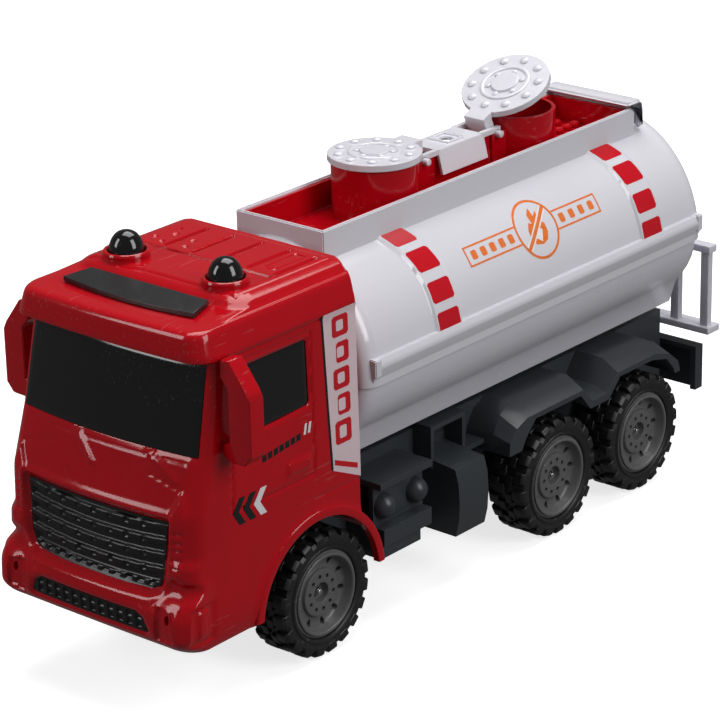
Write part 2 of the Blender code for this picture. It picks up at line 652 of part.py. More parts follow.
tray_half = opening_half - GAP
tray_front, tray_rear = COAMING_FRONT_Y + COAMING_WALL + GAP, COAMING_REAR_Y - COAMING_WALL - GAP
hatch_tray = box(
    "hatch_tray",
    (-tray_half, tray_front, TRAY_FLOOR_Z - TRAY_WALL),
    (tray_half, tray_rear, COAMING_TOP_Z - 0.8 * MM),
    RED,
)
cut(
    hatch_tray,
    box(
        "tray_inside",
        (TRAY_WALL - tray_half, tray_front + TRAY_WALL, TRAY_FLOOR_Z),
        (tray_half - TRAY_WALL, tray_rear - TRAY_WALL, COAMING_TOP_Z + 5 * MM),
    ),
)
join(
    hatch_tray,
    box(
        "bridge",
        (-BRIDGE_HALF, HATCH_Y - HATCH_SPACING / 2, TRAY_FLOOR_Z - 0.5 * MM),
        (BRIDGE_HALF, HATCH_Y + HATCH_SPACING / 2, PIN_Z),
    ),
)
for end in (1, -1):
    neck_y, pin_y = HATCH_Y + end * HATCH_SPACING / 2, HATCH_Y + end * PIN_OFFSET
    ear_y = sorted((neck_y, pin_y - end * 2.8 * MM))
    ear_half = EAR_IN + EAR_WIDTH
    foot_z = TRAY_FLOOR_Z - 0.5 * MM
    join(
        hatch_tray,
        rod(f"neck_{end}", NECK_RADIUS, (0, neck_y, foot_z), (0, neck_y, NECK_TOP_Z), steps=32),
        box(f"ears_{end}", (-ear_half, ear_y[0], foot_z), (ear_half, ear_y[1], PIN_Z)),
    )
    sweep = hypot(TONGUE_BACK, PIN_BELOW_NECK + LID_SEAT + LID_THICKNESS) + GAP
    slot_y = sorted((pin_y + end * (PIN_FROM_NECK - GAP), pin_y - end * sweep))
    slot_z = (PIN_Z - 3.4 * MM, PIN_Z + 5 * MM)
    well = ((0, neck_y, TRAY_FLOOR_Z), (0, neck_y, NECK_TOP_Z + 5 * MM))
    cut(
        hatch_tray,
        rod(f"well_{end}", NECK_RADIUS - NECK_WALL, *well, steps=32),
        box(f"tongue_slot_{end}", (-EAR_IN, slot_y[0], slot_z[0]), (EAR_IN, slot_y[1], slot_z[1])),
        rod(
            f"pin_seat_{end}",
            PIN_RADIUS + RUNNING_GAP,
            (-PIN_LENGTH, pin_y, PIN_Z),
            (PIN_LENGTH, pin_y, PIN_Z),
            steps=12,
        ),
    )
screw_hole_ends = ((0, HATCH_Y, TRAY_FLOOR_Z + 2 * MM), (0, HATCH_Y, PIN_Z + 5 * MM))
cut(hatch_tray, rod("bridge_screw_hole", SCREW_RADIUS + GAP, *screw_hole_ends, steps=10))


def hatch_lid(name, end, opened):
    """A lid with its tongue and pin. Local Y points from the pin to the lid's centre."""
    low = PIN_BELOW_NECK + LID_SEAT
    high = low + LID_THICKNESS
    lid = rod(name, LID_RADIUS, (0, PIN_TO_LID, low), (0, PIN_TO_LID, high), WHITE, 32, (0, 0, 0))
    tongue = [
        (-TONGUE_BACK, -1 * MM),
        (-1.2 * MM, -2.3 * MM),
        (1.2 * MM, -2.3 * MM),
        (TONGUE_BACK, -1 * MM),
        (TONGUE_BACK, low),
        (TONGUE_BACK + 3 * MM, low),
        (TONGUE_BACK + 3 * MM, high),
        (-TONGUE_BACK, high),
    ]
    half = PIN_LENGTH / 2
    parts = (
        prism(name + "_tongue", tongue, "X", -TONGUE_HALF, TONGUE_HALF),
        rod(name + "_pin", PIN_RADIUS, (-half, 0, 0), (half, 0, 0), steps=12),
        rod(name + "_crown", 5.5 * MM, (0, PIN_TO_LID, low), (0, PIN_TO_LID, high + 0.8 * MM), steps=20),
    )
    join(lid, *parts)
    facing = Matrix.Rotation(0 if end > 0 else pi, 4, "Z")
    place = Matrix.Translation((0, HATCH_Y + end * PIN_OFFSET, PIN_Z)) @ facing
    place = place @ Matrix.Rotation(opened, 4, "X")
    for obj in (lid, *parts):
        obj.matrix_world = place @ obj.matrix_world
    return lid


hatch_lid("hatch_lid_front", -1, 0.0)
hatch_lid("hatch_lid_rear", 1, REAR_LID_OPEN)

plate_low = PIN_Z + GAP
plate_high = plate_low + BRACKET_THICKNESS
plate_end = PIN_OFFSET - hypot(TONGUE_BACK, PIN_BELOW_NECK + LID_SEAT + LID_THICKNESS) - 0.5 * MM
hinge_bracket = box(
    "hinge_bracket",
    (-BRACKET_HALF, HATCH_Y - plate_end, plate_low),
    (BRACKET_HALF, HATCH_Y + plate_end, plate_high),
    WHITE,
)
for side in (1, -1):
    profile = [(0, 0), (CHEEK_SPLAY, -CHEEK_DEPTH), (CHEEK_SPLAY - 1.2 * MM, -CHEEK_DEPTH), (-1.2 * MM, 0)]
    outline = [(side * (BRACKET_HALF + a), plate_high + b) for a, b in profile]
    join(hinge_bracket, prism(f"cheek_{side}", outline, "Y", HATCH_Y - plate_end, HATCH_Y + plate_end))
    for end in (1, -1):
        arm_y = sorted((HATCH_Y + end * (plate_end - 1 * MM), HATCH_Y + end * (PIN_OFFSET + 2.2 * MM)))
        arm_x = sorted((side * EAR_IN, side * (EAR_IN + EAR_WIDTH)))
        arm_high = (arm_x[1], arm_y[1], PIN_Z + 2.4 * MM)
        join(hinge_bracket, box(f"arm_{side}_{end}", (arm_x[0], arm_y[0], plate_low), arm_high))
for end in (1, -1):
    pin_y = HATCH_Y + end * PIN_OFFSET
    ends = ((-PIN_LENGTH, pin_y, PIN_Z), (PIN_LENGTH, pin_y, PIN_Z))
    cut(hinge_bracket, rod(f"arm_notch_{end}", PIN_RADIUS + RUNNING_GAP, *ends, steps=12))
head_z = plate_high - 0.3 * MM
cut(
    hinge_bracket,
    rod("bracket_hole", SCREW_RADIUS + GAP, (0, HATCH_Y, PIN_Z - 1 * MM), (0, HATCH_Y, plate_high), steps=10),
    rod(
        "bracket_recess",
        SCREW_HEAD_RADIUS + HEAD_CLEARANCE,
        (0, HATCH_Y, head_z - 0.9 * MM),
        (0, HATCH_Y, plate_high + 1 * MM),
        steps=16,
    ),
)


def screw(name, x, y, seat_z, up):
    """A self-tapping screw whose head's underside is at seat_z. Its shank points up or down."""
    profile = [
        (0, 0.6 * MM),
        (1.4 * MM, 0.6 * MM),
        (SCREW_HEAD_RADIUS, 0.1 * MM),
        (SCREW_HEAD_RADIUS, 0),
        (SCREW_RADIUS, 0),
        (SCREW_RADIUS, 1.5 * MM - SCREW_LENGTH),
        (0, -SCREW_LENGTH),
    ]
    place = Matrix.Translation((x, y, seat_z)) @ Matrix.Rotation(pi if up else 0, 4, "X")
    return turned(name, profile, place, STEEL, 8)


screw("bracket_screw", 0, HATCH_Y, head_z - 0.9 * MM + GAP, up=False)

# Tank hood: it sits over the coaming's rear wall, and its legs stand on the tank -----------------

hood_top = COAMING_TOP_Z + HOOD_HEIGHT
tank_under_leg = tank_skin_z(HOOD_HALF - HOOD_LEG_WIDTH)
over_wall = [
    (COAMING_REAR_Y - 4.5 * MM, COAMING_TOP_Z + GAP),
    (COAMING_REAR_Y - 4.5 * MM, hood_top - 0.5 * MM),
    (COAMING_REAR_Y + 2 * MM, hood_top),
    (COAMING_REAR_Y + 5 * MM, hood_top - 1.5 * MM),
    (COAMING_REAR_Y + 6 * MM, hood_top - 5 * MM),
]
hood_inside = [(COAMING_REAR_Y + 3 * MM, hood_top - 6 * MM), (COAMING_REAR_Y + 3 * MM, COAMING_TOP_Z + GAP)]
tank_hood = prism("tank_hood", over_wall + hood_inside, "X", -HOOD_HALF, HOOD_HALF, MILKY)
leg = over_wall[1:] + [
    (COAMING_REAR_Y + 6 * MM, tank_under_leg + GAP),
    (COAMING_REAR_Y + 3 * MM, tank_under_leg + GAP),
    (COAMING_REAR_Y + 3 * MM, COAMING_TOP_Z + GAP),
]
for side in (1, -1):
    leg_x = sorted((side * (HOOD_HALF - HOOD_LEG_WIDTH), side * HOOD_HALF))
    join(tank_hood, prism(f"hood_leg_{side}", leg, "X", *leg_x))

# Rear guard: a bar on four posts over a plate, which pegs onto the chassis ------------------------

plate_y = (TANK_REAR_Y + 3 * MM, TANK_REAR_Y + 11 * MM)
post_y = (TANK_REAR_Y + 4.5 * MM, TANK_REAR_Y + 7.5 * MM)
bar_y = (TANK_REAR_Y + 3 * MM, TANK_REAR_Y + 7.9 * MM)
bar_z = SEAM_Z - 9 * MM
rear_guard = box(
    "rear_guard",
    (-GUARD_PLATE_HALF, plate_y[0], GUARD_PLATE_Z),
    (GUARD_PLATE_HALF, plate_y[1], GUARD_PLATE_Z + GUARD_PLATE_THICKNESS),
    MILKY,
)
join(
    rear_guard,
    box("guard_bar", (-GUARD_BAR_HALF, bar_y[0], bar_z), (GUARD_BAR_HALF, bar_y[1], bar_z + 3 * MM)),
)
guard_pegs = [(side * 8 * MM, sum(plate_y) / 2 - 1 * MM) for side in (1, -1)]
for i, (x, y) in enumerate(guard_pegs):
    ends = ((x, y, GUARD_PLATE_Z + 1 * MM), (x, y, GUARD_PLATE_Z - 4 * MM))
    join(rear_guard, rod(f"guard_peg_{i}", PEG_RADIUS, *ends, steps=10))
for side in (1, -1):
    for i, x in enumerate(GUARD_POSTS_X):
        post_x = sorted((side * x, side * (x + GUARD_POST_WIDTH)))
        low, high = zip(post_x, post_y, (GUARD_PLATE_Z + 1 * MM, bar_z + 1 * MM))
        join(rear_guard, box(f"guard_post_{side}_{i}", low, high))

# Chassis ---------------------------------------------------------------------------------------

beam_front, beam_rear = FRONT_Y + 14.5 * MM, TANK_REAR_Y - 1.5 * MM
inner_half = BEAM_HALF - CHASSIS_WALL
chassis_frame = box(
    "chassis_frame", (-BEAM_HALF, beam_front, BEAM_FLOOR_Z), (BEAM_HALF, beam_rear, DECK_Z), SLATE
)
join(
    chassis_frame,
    box(
        "cab_floor",
        (-CAB_HALF + 5 * MM, FRONT_Y + 13 * MM, level(1)),
        (CAB_HALF - 5 * MM, FRONT_AXLE_Y - ARCH_RADIUS - 1 * MM, level(3)),
    ),
)

step_y = (CAB_REAR_Y + 13.5 * MM, CAB_REAR_Y + 13.5 * MM + STEP_LENGTH)
fuel_y = (MIDDLE_AXLE_Y - FUEL_BOX_TO_AXLE - FUEL_BOX_LENGTH, MIDDLE_AXLE_Y - FUEL_BOX_TO_AXLE)
root_x = BEAM_HALF - 1 * MM
step_top = DECK_Z - 4.8 * MM
tools = []
tools += both_sides(
    "step_top",
    (root_x, step_y[0], step_top - 2.4 * MM),
    (SIDE_BOX_HALF - 2 * MM, step_y[1], step_top),
)
tools += both_sides(
    "step_back",
    (SIDE_BOX_HALF - 8 * MM, step_y[0] + GAP, AXLE_Z + 5 * MM),
    (SIDE_BOX_HALF - 6 * MM, step_y[1] - 1 * MM, step_top - 1 * MM),
)
tools += both_sides(
    "tread",
    (root_x, step_y[0] + GAP, AXLE_Z + 5.5 * MM),
    (SIDE_BOX_HALF - 1 * MM, step_y[1] - 2 * MM, AXLE_Z + 12 * MM),
)
tools += both_sides(
    "lower_tread",
    (root_x, step_y[0] + 2 * GAP, AXLE_Z),
    (SIDE_BOX_HALF - 3 * MM, step_y[1] - 6 * MM, AXLE_Z + 6 * MM),
)

# A hoop stands over each fuel box, and a shelf runs from it to the mudguard
hoop_y = (fuel_y[0] - 1 * MM, fuel_y[1] + 2 * MM)
hoop_top, hoop_foot = DECK_Z + HOOP_RISE, DECK_Z - 14 * MM
shelf_end = MIDDLE_AXLE_Y - TYRE_RADIUS - 1.2 * MM
hoop = [
    (hoop_y[0], hoop_foot),
    (hoop_y[0], hoop_top),
    (hoop_y[1], hoop_top),
    (hoop_y[1], hoop_foot + HOOP_BAR),
    (shelf_end, hoop_foot + HOOP_BAR),
    (shelf_end, hoop_foot),
    (hoop_y[1] - HOOP_BAR, hoop_foot),
    (hoop_y[1] - HOOP_BAR, hoop_top - HOOP_BAR),
    (hoop_y[0] + HOOP_BAR, hoop_top - HOOP_BAR),
    (hoop_y[0] + HOOP_BAR, hoop_foot),
]
for side in (1, -1):
    hoop_x = sorted((side * root_x, side * (BEAM_HALF + HOOP_REACH)))
    tools.append(prism(f"hoop_{side}", hoop, "X", *hoop_x))
    face = [(0, -4.2), (1.5, 2), (2, 9.5), (1.5, 17), (0, 22.3)]
    outline = [(side * root_x, AXLE_Z - 4.1 * MM)]
    outline += [(side * (SIDE_BOX_HALF + a * MM), AXLE_Z + b * MM) for a, b in face]
    outline += [(side * root_x, AXLE_Z + 24.8 * MM)]
    tools.append(prism(f"fuel_box_{side}", outline, "Y", *fuel_y))
    for i, y in enumerate((step_y[0] + 5.5 * MM, step_y[1] - 5.7 * MM)):
        centre = (side * (SIDE_BOX_HALF - 5.6 * MM), y, AXLE_Z + 19 * MM)
        tools.append(ball(f"air_tank_{side}_{i}", 4.8 * MM, centre))


def guard_ring(x, drop):
    """A section through both mudguards at one distance from the middle of the truck."""
    tip = AXLE_Z + 17.6 * MM
    dip = GUARD_EDGE_Z - 7.2 * MM
    front, rear, tyre = MIDDLE_AXLE_Y, REAR_AXLE_Y, TYRE_RADIUS
    under = [
        (front - tyre + 2.4 * MM, tip),
        (front - tyre + 4.9 * MM, tip + 4.2 * MM),
        (front - tyre + 10.9 * MM, GUARD_EDGE_Z),
        (front + tyre - 8.6 * MM, GUARD_EDGE_Z),
        (front + tyre - 2.3 * MM, dip),
        (rear - tyre + 2.4 * MM, dip),
        (rear - tyre + 9.6 * MM, GUARD_EDGE_Z),
        (rear + tyre - 16.7 * MM, GUARD_EDGE_Z),
        (rear + tyre - 7.1 * MM, GUARD_EDGE_Z - 2.4 * MM),
        (rear + tyre - 2.2 * MM, tip + 2.4 * MM),
        (rear + tyre - 1.2 * MM, tip),
    ]
    over = [
        (front - tyre - 5.2 * MM, tip),
        (front - tyre - 4.7 * MM, tip + 7 * MM),
        (front - tyre - 0.7 * MM, tip + 13.4 * MM),
        (front - tyre + 5.8 * MM, DECK_Z),
        (front + tyre - 7 * MM, DECK_Z),
        (front + tyre - 1.2 * MM, dip + 5 * MM),
        (rear - tyre + 1.3 * MM, dip + 5 * MM),
        (rear - tyre + 8.2 * MM, DECK_Z),
        (rear + tyre - 14 * MM, DECK_Z),
        (rear + tyre - 5 * MM, DECK_Z - 4 * MM),
        (rear + tyre + 0.8 * MM, tip + 6.5 * MM),
        (rear + tyre + 2.4 * MM, tip),
    ]
    rise = 3.8 * MM * (1 - drop / GUARD_DROP)
    high = [(y, z - drop * (z - tip) / (DECK_Z - tip)) for y, z in over]
    low = [(y, z + rise * (z - tip) / (GUARD_EDGE_Z - tip)) for y, z in reversed(under)]
    return [(x, y, z) for y, z in high + low]


for side in (1, -1):
    rings = [
        guard_ring(side * (inner_half + 1 * MM), 0),
        guard_ring(side * GUARD_TOP_HALF, 0),
        guard_ring(side * GUARD_HALF_WIDTH, GUARD_DROP),
    ]
    tools.append(loft(f"mudguards_{side}", rings))

bumper_low = BUMPER_TOP_Z - BUMPER_HEIGHT
bumper = box(
    "bumper",
    (-BUMPER_HALF_WIDTH, CHASSIS_REAR_Y - 5 * MM, bumper_low),
    (BUMPER_HALF_WIDTH, CHASSIS_REAR_Y, BUMPER_TOP_Z),
)
cut(
    bumper,
    box(
        "bumper_inside",
        (2.5 * MM - BUMPER_HALF_WIDTH, CHASSIS_REAR_Y - 6 * MM, bumper_low - 1 * MM),
        (BUMPER_HALF_WIDTH - 2.5 * MM, CHASSIS_REAR_Y - 2 * MM, BUMPER_TOP_Z - 2 * MM),
    ),
)
tools.append(bumper)
tools.append(
    box(
        "bumper_bracket",
        (-BEAM_HALF * 0.6, beam_rear - 3 * MM, BUMPER_TOP_Z - 10 * MM),
        (BEAM_HALF * 0.6, CHASSIS_REAR_Y - 1 * MM, GUARD_PLATE_Z - GAP),
    )
)
join(chassis_frame, *tools)
cut(
    chassis_frame,
    box(
        "beam_inside",
        (-inner_half, beam_front + CHASSIS_WALL, BEAM_FLOOR_Z - 5 * MM),
        (inner_half, beam_rear - CHASSIS_WALL, DECK_Z - CHASSIS_WALL),
    ),
)
for i, (x, y) in enumerate(guard_pegs):
    ends = ((x, y, GUARD_PLATE_Z), (x, y, GUARD_PLATE_Z - 5 * MM))
    cut(chassis_frame, rod(f"guard_peg_hole_{i}", PEG_RADIUS + GAP, *ends, steps=10))
cut(chassis_frame, box("bumper_relief", (-1, -1, -1), (1, FRONT_AXLE_Y - 20 * MM, level(1))))
cover_screws = [(0, y) for y in (FRONT_AXLE_Y + 16 * MM, MIDDLE_AXLE_Y - 24 * MM, REAR_AXLE_Y + 20 * MM)]
for i, (x, y) in enumerate(cover_screws):
    post = rod(f"cover_post_{i}", BOSS_RADIUS, (x, y, BEAM_FLOOR_Z), (x, y, DECK_Z - 1 * MM), steps=12)
    ends = ((x, y, BEAM_FLOOR_Z - 5 * MM), (x, y, BEAM_FLOOR_Z + 11 * MM))
    cut(join(chassis_frame, post), rod(f"cover_post_hole_{i}", SCREW_RADIUS + GAP, *ends, steps=10))
for i, (x, y) in enumerate(tank_screws):
    ends = ((x, y, DECK_Z - 5 * MM), (x, y, DECK_Z + 5 * MM))
    cut(chassis_frame, rod(f"deck_hole_{i}", SCREW_RADIUS + GAP, *ends, steps=10))
    screw(f"tank_screw_{i + 1}", x, y, DECK_Z - CHASSIS_WALL - GAP, up=True)
for side, name in ((1, "cab_screw_left"), (-1, "cab_screw_right")):
    x, y = side * (CAB_HALF - 8 * MM), FRONT_Y + 20 * MM
    ends = ((x, y, level(-2)), (x, y, level(6)))
    cut(chassis_frame, rod(f"floor_hole_{side}", SCREW_RADIUS + GAP, *ends, steps=10))
    screw(name, x, y, level(1) - GAP, up=True)

bearing = AXLE_RADIUS + RUNNING_GAP
axle_places = {"front": FRONT_AXLE_Y, "middle": MIDDLE_AXLE_Y, "rear": REAR_AXLE_Y}
chassis_cover = box(
    "chassis_cover",
    (-BEAM_HALF, FRONT_AXLE_Y - 14 * MM, BEAM_FLOOR_Z - GAP - COVER_THICKNESS),
    (BEAM_HALF, REAR_AXLE_Y + 28 * MM, BEAM_FLOOR_Z - GAP),
    SLATE,
)
for name, y in axle_places.items():
    ends = ((-BEAM_HALF * 1.1, y, AXLE_Z), (BEAM_HALF * 1.1, y, AXLE_Z))
    cut(
        chassis_frame,
        rod(f"{name}_bearing", bearing, *ends, steps=16),
        box(f"{name}_slot", (-BEAM_HALF * 1.1, y - bearing, 0), (BEAM_HALF * 1.1, y + bearing, AXLE_Z)),
    )
    pads = both_sides(
        f"{name}_pad",
        (inner_half, y - bearing + GAP, BEAM_FLOOR_Z - GAP - 1 * MM),
        (BEAM_HALF, y + bearing - GAP, AXLE_Z - bearing),
    )
    join(chassis_cover, *pads)
head_seat = BEAM_FLOOR_Z - GAP - COVER_THICKNESS + HEAD_RECESS
for i, (x, y) in enumerate(cover_screws):
    ends = ((x, y, BEAM_FLOOR_Z - 5 * MM), (x, y, BEAM_FLOOR_Z + 1 * MM))
    recess = ((x, y, BEAM_FLOOR_Z - 5 * MM), (x, y, head_seat))
    cut(
        chassis_cover,
        rod(f"cover_hole_{i}", SCREW_RADIUS + GAP, *ends, steps=10),
        rod(f"cover_recess_{i}", SCREW_HEAD_RADIUS + HEAD_CLEARANCE, *recess, steps=16),
    )
    screw(f"cover_screw_{i + 1}", x, y, head_seat - GAP, up=True)

# Friction motor on the middle axle: axle gear, idler and flywheel between two housing halves -------


def gear_outline(teeth, phase):
    """Points (y, z) round a gear with straight-flanked teeth. The first tooth points along phase."""
    pitch_radius = teeth * GEAR_MODULE / 2
    root, tip = pitch_radius - 1.2 * GEAR_MODULE, pitch_radius + 0.85 * GEAR_MODULE
    tooth = 2 * pi / teeth
    points = []
    for i in range(teeth):
        for radius, part in ((root, -0.29), (tip, -0.1), (tip, 0.1), (root, 0.29)):
            angle = phase + tooth * (i + part)
            points.append((radius * cos(angle), radius * sin(angle)))
    return points


def outer_radius(teeth):
    return teeth * GEAR_MODULE / 2 + 0.85 * GEAR_MODULE


def next_centre(start, teeth_a, teeth_b, angle):
    """Where the second gear's centre goes, as (y, z)."""
    reach = (teeth_a + teeth_b) * GEAR_MODULE / 2
    return (start[0] + reach * cos(angle), start[1] + reach * sin(angle))


axle_at = (MIDDLE_AXLE_Y, AXLE_Z)
idler_at = next_centre(axle_at, AXLE_GEAR_TEETH, PINION_TEETH, IDLER_ANGLE)
flywheel_at = next_centre(idler_at, IDLER_TEETH, PINION_TEETH, FLYWHEEL_ANGLE)
DRIVE_X = (-6 * MM, -2 * MM)
STEP_UP_X = (-1.5 * MM, 2 * MM)
FLYWHEEL_X = (4 * MM, 8 * MM)
MOTOR_X = (-8.2 * MM, 10.2 * MM)
MOTOR_SPLIT = 1 * MM

axle_teeth = gear_outline(AXLE_GEAR_TEETH, IDLER_ANGLE)
axle_gear = prism("axle_gear", axle_teeth, "X", *DRIVE_X, NATURAL, (0, *axle_at))
cut(axle_gear, rod("axle_gear_bore", AXLE_RADIUS + GAP, (-0.05, *axle_at), (0.05, *axle_at), steps=16))
idler_gear = prism(
    "idler_gear", gear_outline(IDLER_TEETH, FLYWHEEL_ANGLE), "X", *STEP_UP_X, NATURAL, (0, *idler_at)
)
half_tooth = pi / PINION_TEETH
facing_axle = gear_outline(PINION_TEETH, IDLER_ANGLE + pi + half_tooth)
join(idler_gear, prism("idler_pinion", facing_axle, "X", -6.4 * MM, -1 * MM, origin=(0, *idler_at)))
cut(idler_gear, rod("idler_bore", SHAFT_RADIUS + GAP, (-0.05, *idler_at), (0.05, *idler_at), steps=12))
shaft_x = (MOTOR_X[0] + 0.2 * MM, MOTOR_X[1] - 0.2 * MM)
rod("idler_shaft", SHAFT_RADIUS, (shaft_x[0], *idler_at), (shaft_x[1], *idler_at), STEEL, 12)
facing_idler = gear_outline(PINION_TEETH, FLYWHEEL_ANGLE + pi + half_tooth)
flywheel_pinion = prism("flywheel_pinion", facing_idler, "X", -2 * MM, 2.6 * MM, STEEL, (0, *flywheel_at))
join(
    flywheel_pinion,
    rod("flywheel_shaft", SHAFT_RADIUS, (shaft_x[0], *flywheel_at), (shaft_x[1], *flywheel_at), steps=12),
)
flywheel = rod(
    "flywheel", FLYWHEEL_RADIUS, (FLYWHEEL_X[0], *flywheel_at), (FLYWHEEL_X[1], *flywheel_at), STEEL, 24
)
cut(flywheel, rod("flywheel_bore", SHAFT_RADIUS + GAP, (-0.05, *flywheel_at), (0.05, *flywheel_at), steps=12))

around_axle = outer_radius(AXLE_GEAR_TEETH) + MOTOR_CLEARANCE
around_idler = outer_radius(IDLER_TEETH) + MOTOR_CLEARANCE
around_flywheel = FLYWHEEL_RADIUS + MOTOR_CLEARANCE
motor_low = (axle_at[0] - around_axle, axle_at[1] - around_axle)
motor_high = (
    flywheel_at[0] + around_flywheel,
    max(flywheel_at[1] + around_flywheel, idler_at[1] + around_idler),
)
halves = {
    "motor_housing_left": (MOTOR_SPLIT + GAP / 2, MOTOR_X[1]),
    "motor_housing_right": (MOTOR_X[0], MOTOR_SPLIT - GAP / 2),
}
for name, (low_x, high_x) in halves.items():
    wall = MOTOR_WALL
    housing = box(
        name,
        (low_x, motor_low[0] - wall, motor_low[1] - wall),
        (high_x, motor_high[0] + wall, motor_high[1] + wall),
        SLATE,
    )
    inside_x = (MOTOR_X[0] + wall, MOTOR_X[1] - wall)
    cut(housing, box(name + "_inside", (inside_x[0], *motor_low), (inside_x[1], *motor_high)))
    for at, radius in ((axle_at, AXLE_RADIUS), (idler_at, SHAFT_RADIUS), (flywheel_at, SHAFT_RADIUS)):
        hole = rod(f"{name}_{radius}", radius + RUNNING_GAP, (-0.05, *at), (0.05, *at), steps=16)
        cut(housing, hole)
cut(
    chassis_cover,
    box(
        "motor_window",
        (MOTOR_X[0] - 0.5 * MM, motor_low[0] - MOTOR_WALL - 0.5 * MM, 0),
        (MOTOR_X[1] + 0.5 * MM, motor_high[0] + MOTOR_WALL + 0.5 * MM, BEAM_FLOOR_Z),
    ),
)

# Axles, rims and tyres ---------------------------------------------------------------------------

tyre_inner = RIM_RADIUS + GAP
tyre_profile = [
    (TYRE_RADIUS - 1 * MM, TYRE_WIDTH),
    (TYRE_RADIUS, TYRE_WIDTH - 2.5 * MM),
    (TYRE_RADIUS, 2.5 * MM),
    (TYRE_RADIUS - 1 * MM, 0),
    (tyre_inner, 0),
    (tyre_inner, TYRE_WIDTH),
]
hub_bore = AXLE_RADIUS + GAP
dish = TYRE_WIDTH - 4 * MM
rim_profile = [
    (RIM_RADIUS, TYRE_WIDTH),
    (RIM_RADIUS, 1 * MM),
    (RIM_RADIUS - 1.6 * MM, 1 * MM),
    (RIM_RADIUS - 1.6 * MM, dish - 3 * MM),
    (hub_bore + 3.4 * MM, dish - 3 * MM),
    (hub_bore + 2.8 * MM, 1.5 * MM),
    (hub_bore, 1.5 * MM),
    (hub_bore, dish - 1.2 * MM),
    (hub_bore + 2 * MM, dish - 0.8 * MM),
    (hub_bore + 2.6 * MM, dish + 1 * MM),
    (RIM_RADIUS * 0.52, dish + 1 * MM),
    (RIM_RADIUS * 0.58, dish - 0.8 * MM),
    (RIM_RADIUS - 2.6 * MM, dish),
    (RIM_RADIUS - 1.4 * MM, TYRE_WIDTH),
]
for place, y in axle_places.items():
    face = FRONT_WHEEL_FACE if place == "front" else REAR_WHEEL_FACE
    end = face - TYRE_WIDTH + dish
    rod(f"axle_{place}", AXLE_RADIUS, (-end, y, AXLE_Z), (end, y, AXLE_Z), STEEL, 14, (0, y, AXLE_Z))
    for side, hand in ((1, "left"), (-1, "right")):
        outward = Matrix.Rotation(side * pi / 2, 4, "Y")
        inner_face = Matrix.Translation((side * (face - TYRE_WIDTH), y, AXLE_Z)) @ outward
        flat_down = Matrix.Rotation(pi / TYRE_STEPS, 4, "Z")
        turned(f"tyre_{place}_{hand}", tyre_profile, inner_face @ flat_down, TYRE, TYRE_STEPS)
        turned(f"rim_{place}_{hand}", rim_profile, inner_face, GREY, RIM_STEPS)
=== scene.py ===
"""Looks for a toy tanker truck of moulded plastic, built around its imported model.

Metres, +Z up. The cab faces -Y, and +X is the driver's left.
"""

from math import cos, hypot, pi, radians, sin

import bmesh
import bpy
import numpy as np
from mathutils import Matrix, Vector


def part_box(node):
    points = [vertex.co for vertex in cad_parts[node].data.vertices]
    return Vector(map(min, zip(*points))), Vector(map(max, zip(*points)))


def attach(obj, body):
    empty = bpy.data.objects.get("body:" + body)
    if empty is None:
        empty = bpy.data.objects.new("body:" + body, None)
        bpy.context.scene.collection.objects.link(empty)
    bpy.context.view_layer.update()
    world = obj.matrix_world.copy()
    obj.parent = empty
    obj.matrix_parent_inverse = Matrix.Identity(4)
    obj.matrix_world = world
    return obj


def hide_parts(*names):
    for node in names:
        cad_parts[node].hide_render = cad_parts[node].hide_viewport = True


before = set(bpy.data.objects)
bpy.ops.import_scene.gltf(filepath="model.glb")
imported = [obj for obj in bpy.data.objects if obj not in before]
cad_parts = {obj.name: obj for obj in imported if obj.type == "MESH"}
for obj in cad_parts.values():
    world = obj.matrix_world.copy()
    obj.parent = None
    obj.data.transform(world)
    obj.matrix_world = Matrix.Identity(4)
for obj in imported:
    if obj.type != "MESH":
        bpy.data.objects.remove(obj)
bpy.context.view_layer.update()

# Chassis frame and closing cover -----------------------------------------------------------------
# One dark slate moulding carries the steps, air tanks, fuel boxes, mudguards and bumper, and a flat
# cover closes it from below. Both are satin plastic that was ejected from a polished, used mould.

MM = 0.001


class Amount:
    """A number that changes over a surface. Arithmetic on it adds Math nodes."""

    def __init__(self, finish, socket):
        self.finish, self.socket = finish, socket

    def with_other(self, operation, first, second):
        return self.finish.node("Math", {"operation": operation}, {0: first, 1: second})

    def __add__(self, other):
        return self.with_other("ADD", self, other)

    def __sub__(self, other):
        return self.with_other("SUBTRACT", self, other)

    def __rsub__(self, other):
        return self.with_other("SUBTRACT", other, self)

    def __mul__(self, other):
        return self.with_other("MULTIPLY", self, other)

    def __lt__(self, other):
        return self.with_other("LESS_THAN", self, other)

    def __gt__(self, other):
        return self.with_other("GREATER_THAN", self, other)

    __radd__, __rmul__ = __add__, __mul__


class Finish:
    """A material with one way to add any node. Constants are set on the shader's own sockets."""

    def __init__(self, name, **constants):
        self.material = bpy.data.materials.new(name)
        self.material.use_nodes = True
        self.tree = self.material.node_tree
        self.shader = self.tree.nodes["Principled BSDF"]
        for socket, value in constants.items():
            self.shader.inputs[socket.replace("_", " ")].default_value = value

    def node(self, kind, settings=None, sockets=None, output=0):
        made = self.tree.nodes.new("ShaderNode" + kind)
        for setting, value in (settings or {}).items():
            setattr(made, setting, value)
        for socket, value in (sockets or {}).items():
            if isinstance(value, Amount):
                self.tree.links.new(value.socket, made.inputs[socket])
            else:
                made.inputs[socket].default_value = value
        return Amount(self, made.outputs[output])

    def feed(self, socket, amount):
        self.tree.links.new(amount.socket, self.shader.inputs[socket])

    def blend(self, factor, first, second):
        """A colour between two, each a colour or an Amount."""
        ends = {6: first if isinstance(first, Amount) else (*first, 1)}
        ends[7] = second if isinstance(second, Amount) else (*second, 1)
        return self.node("Mix", {"data_type": "RGBA"}, {0: factor, **ends}, 2)


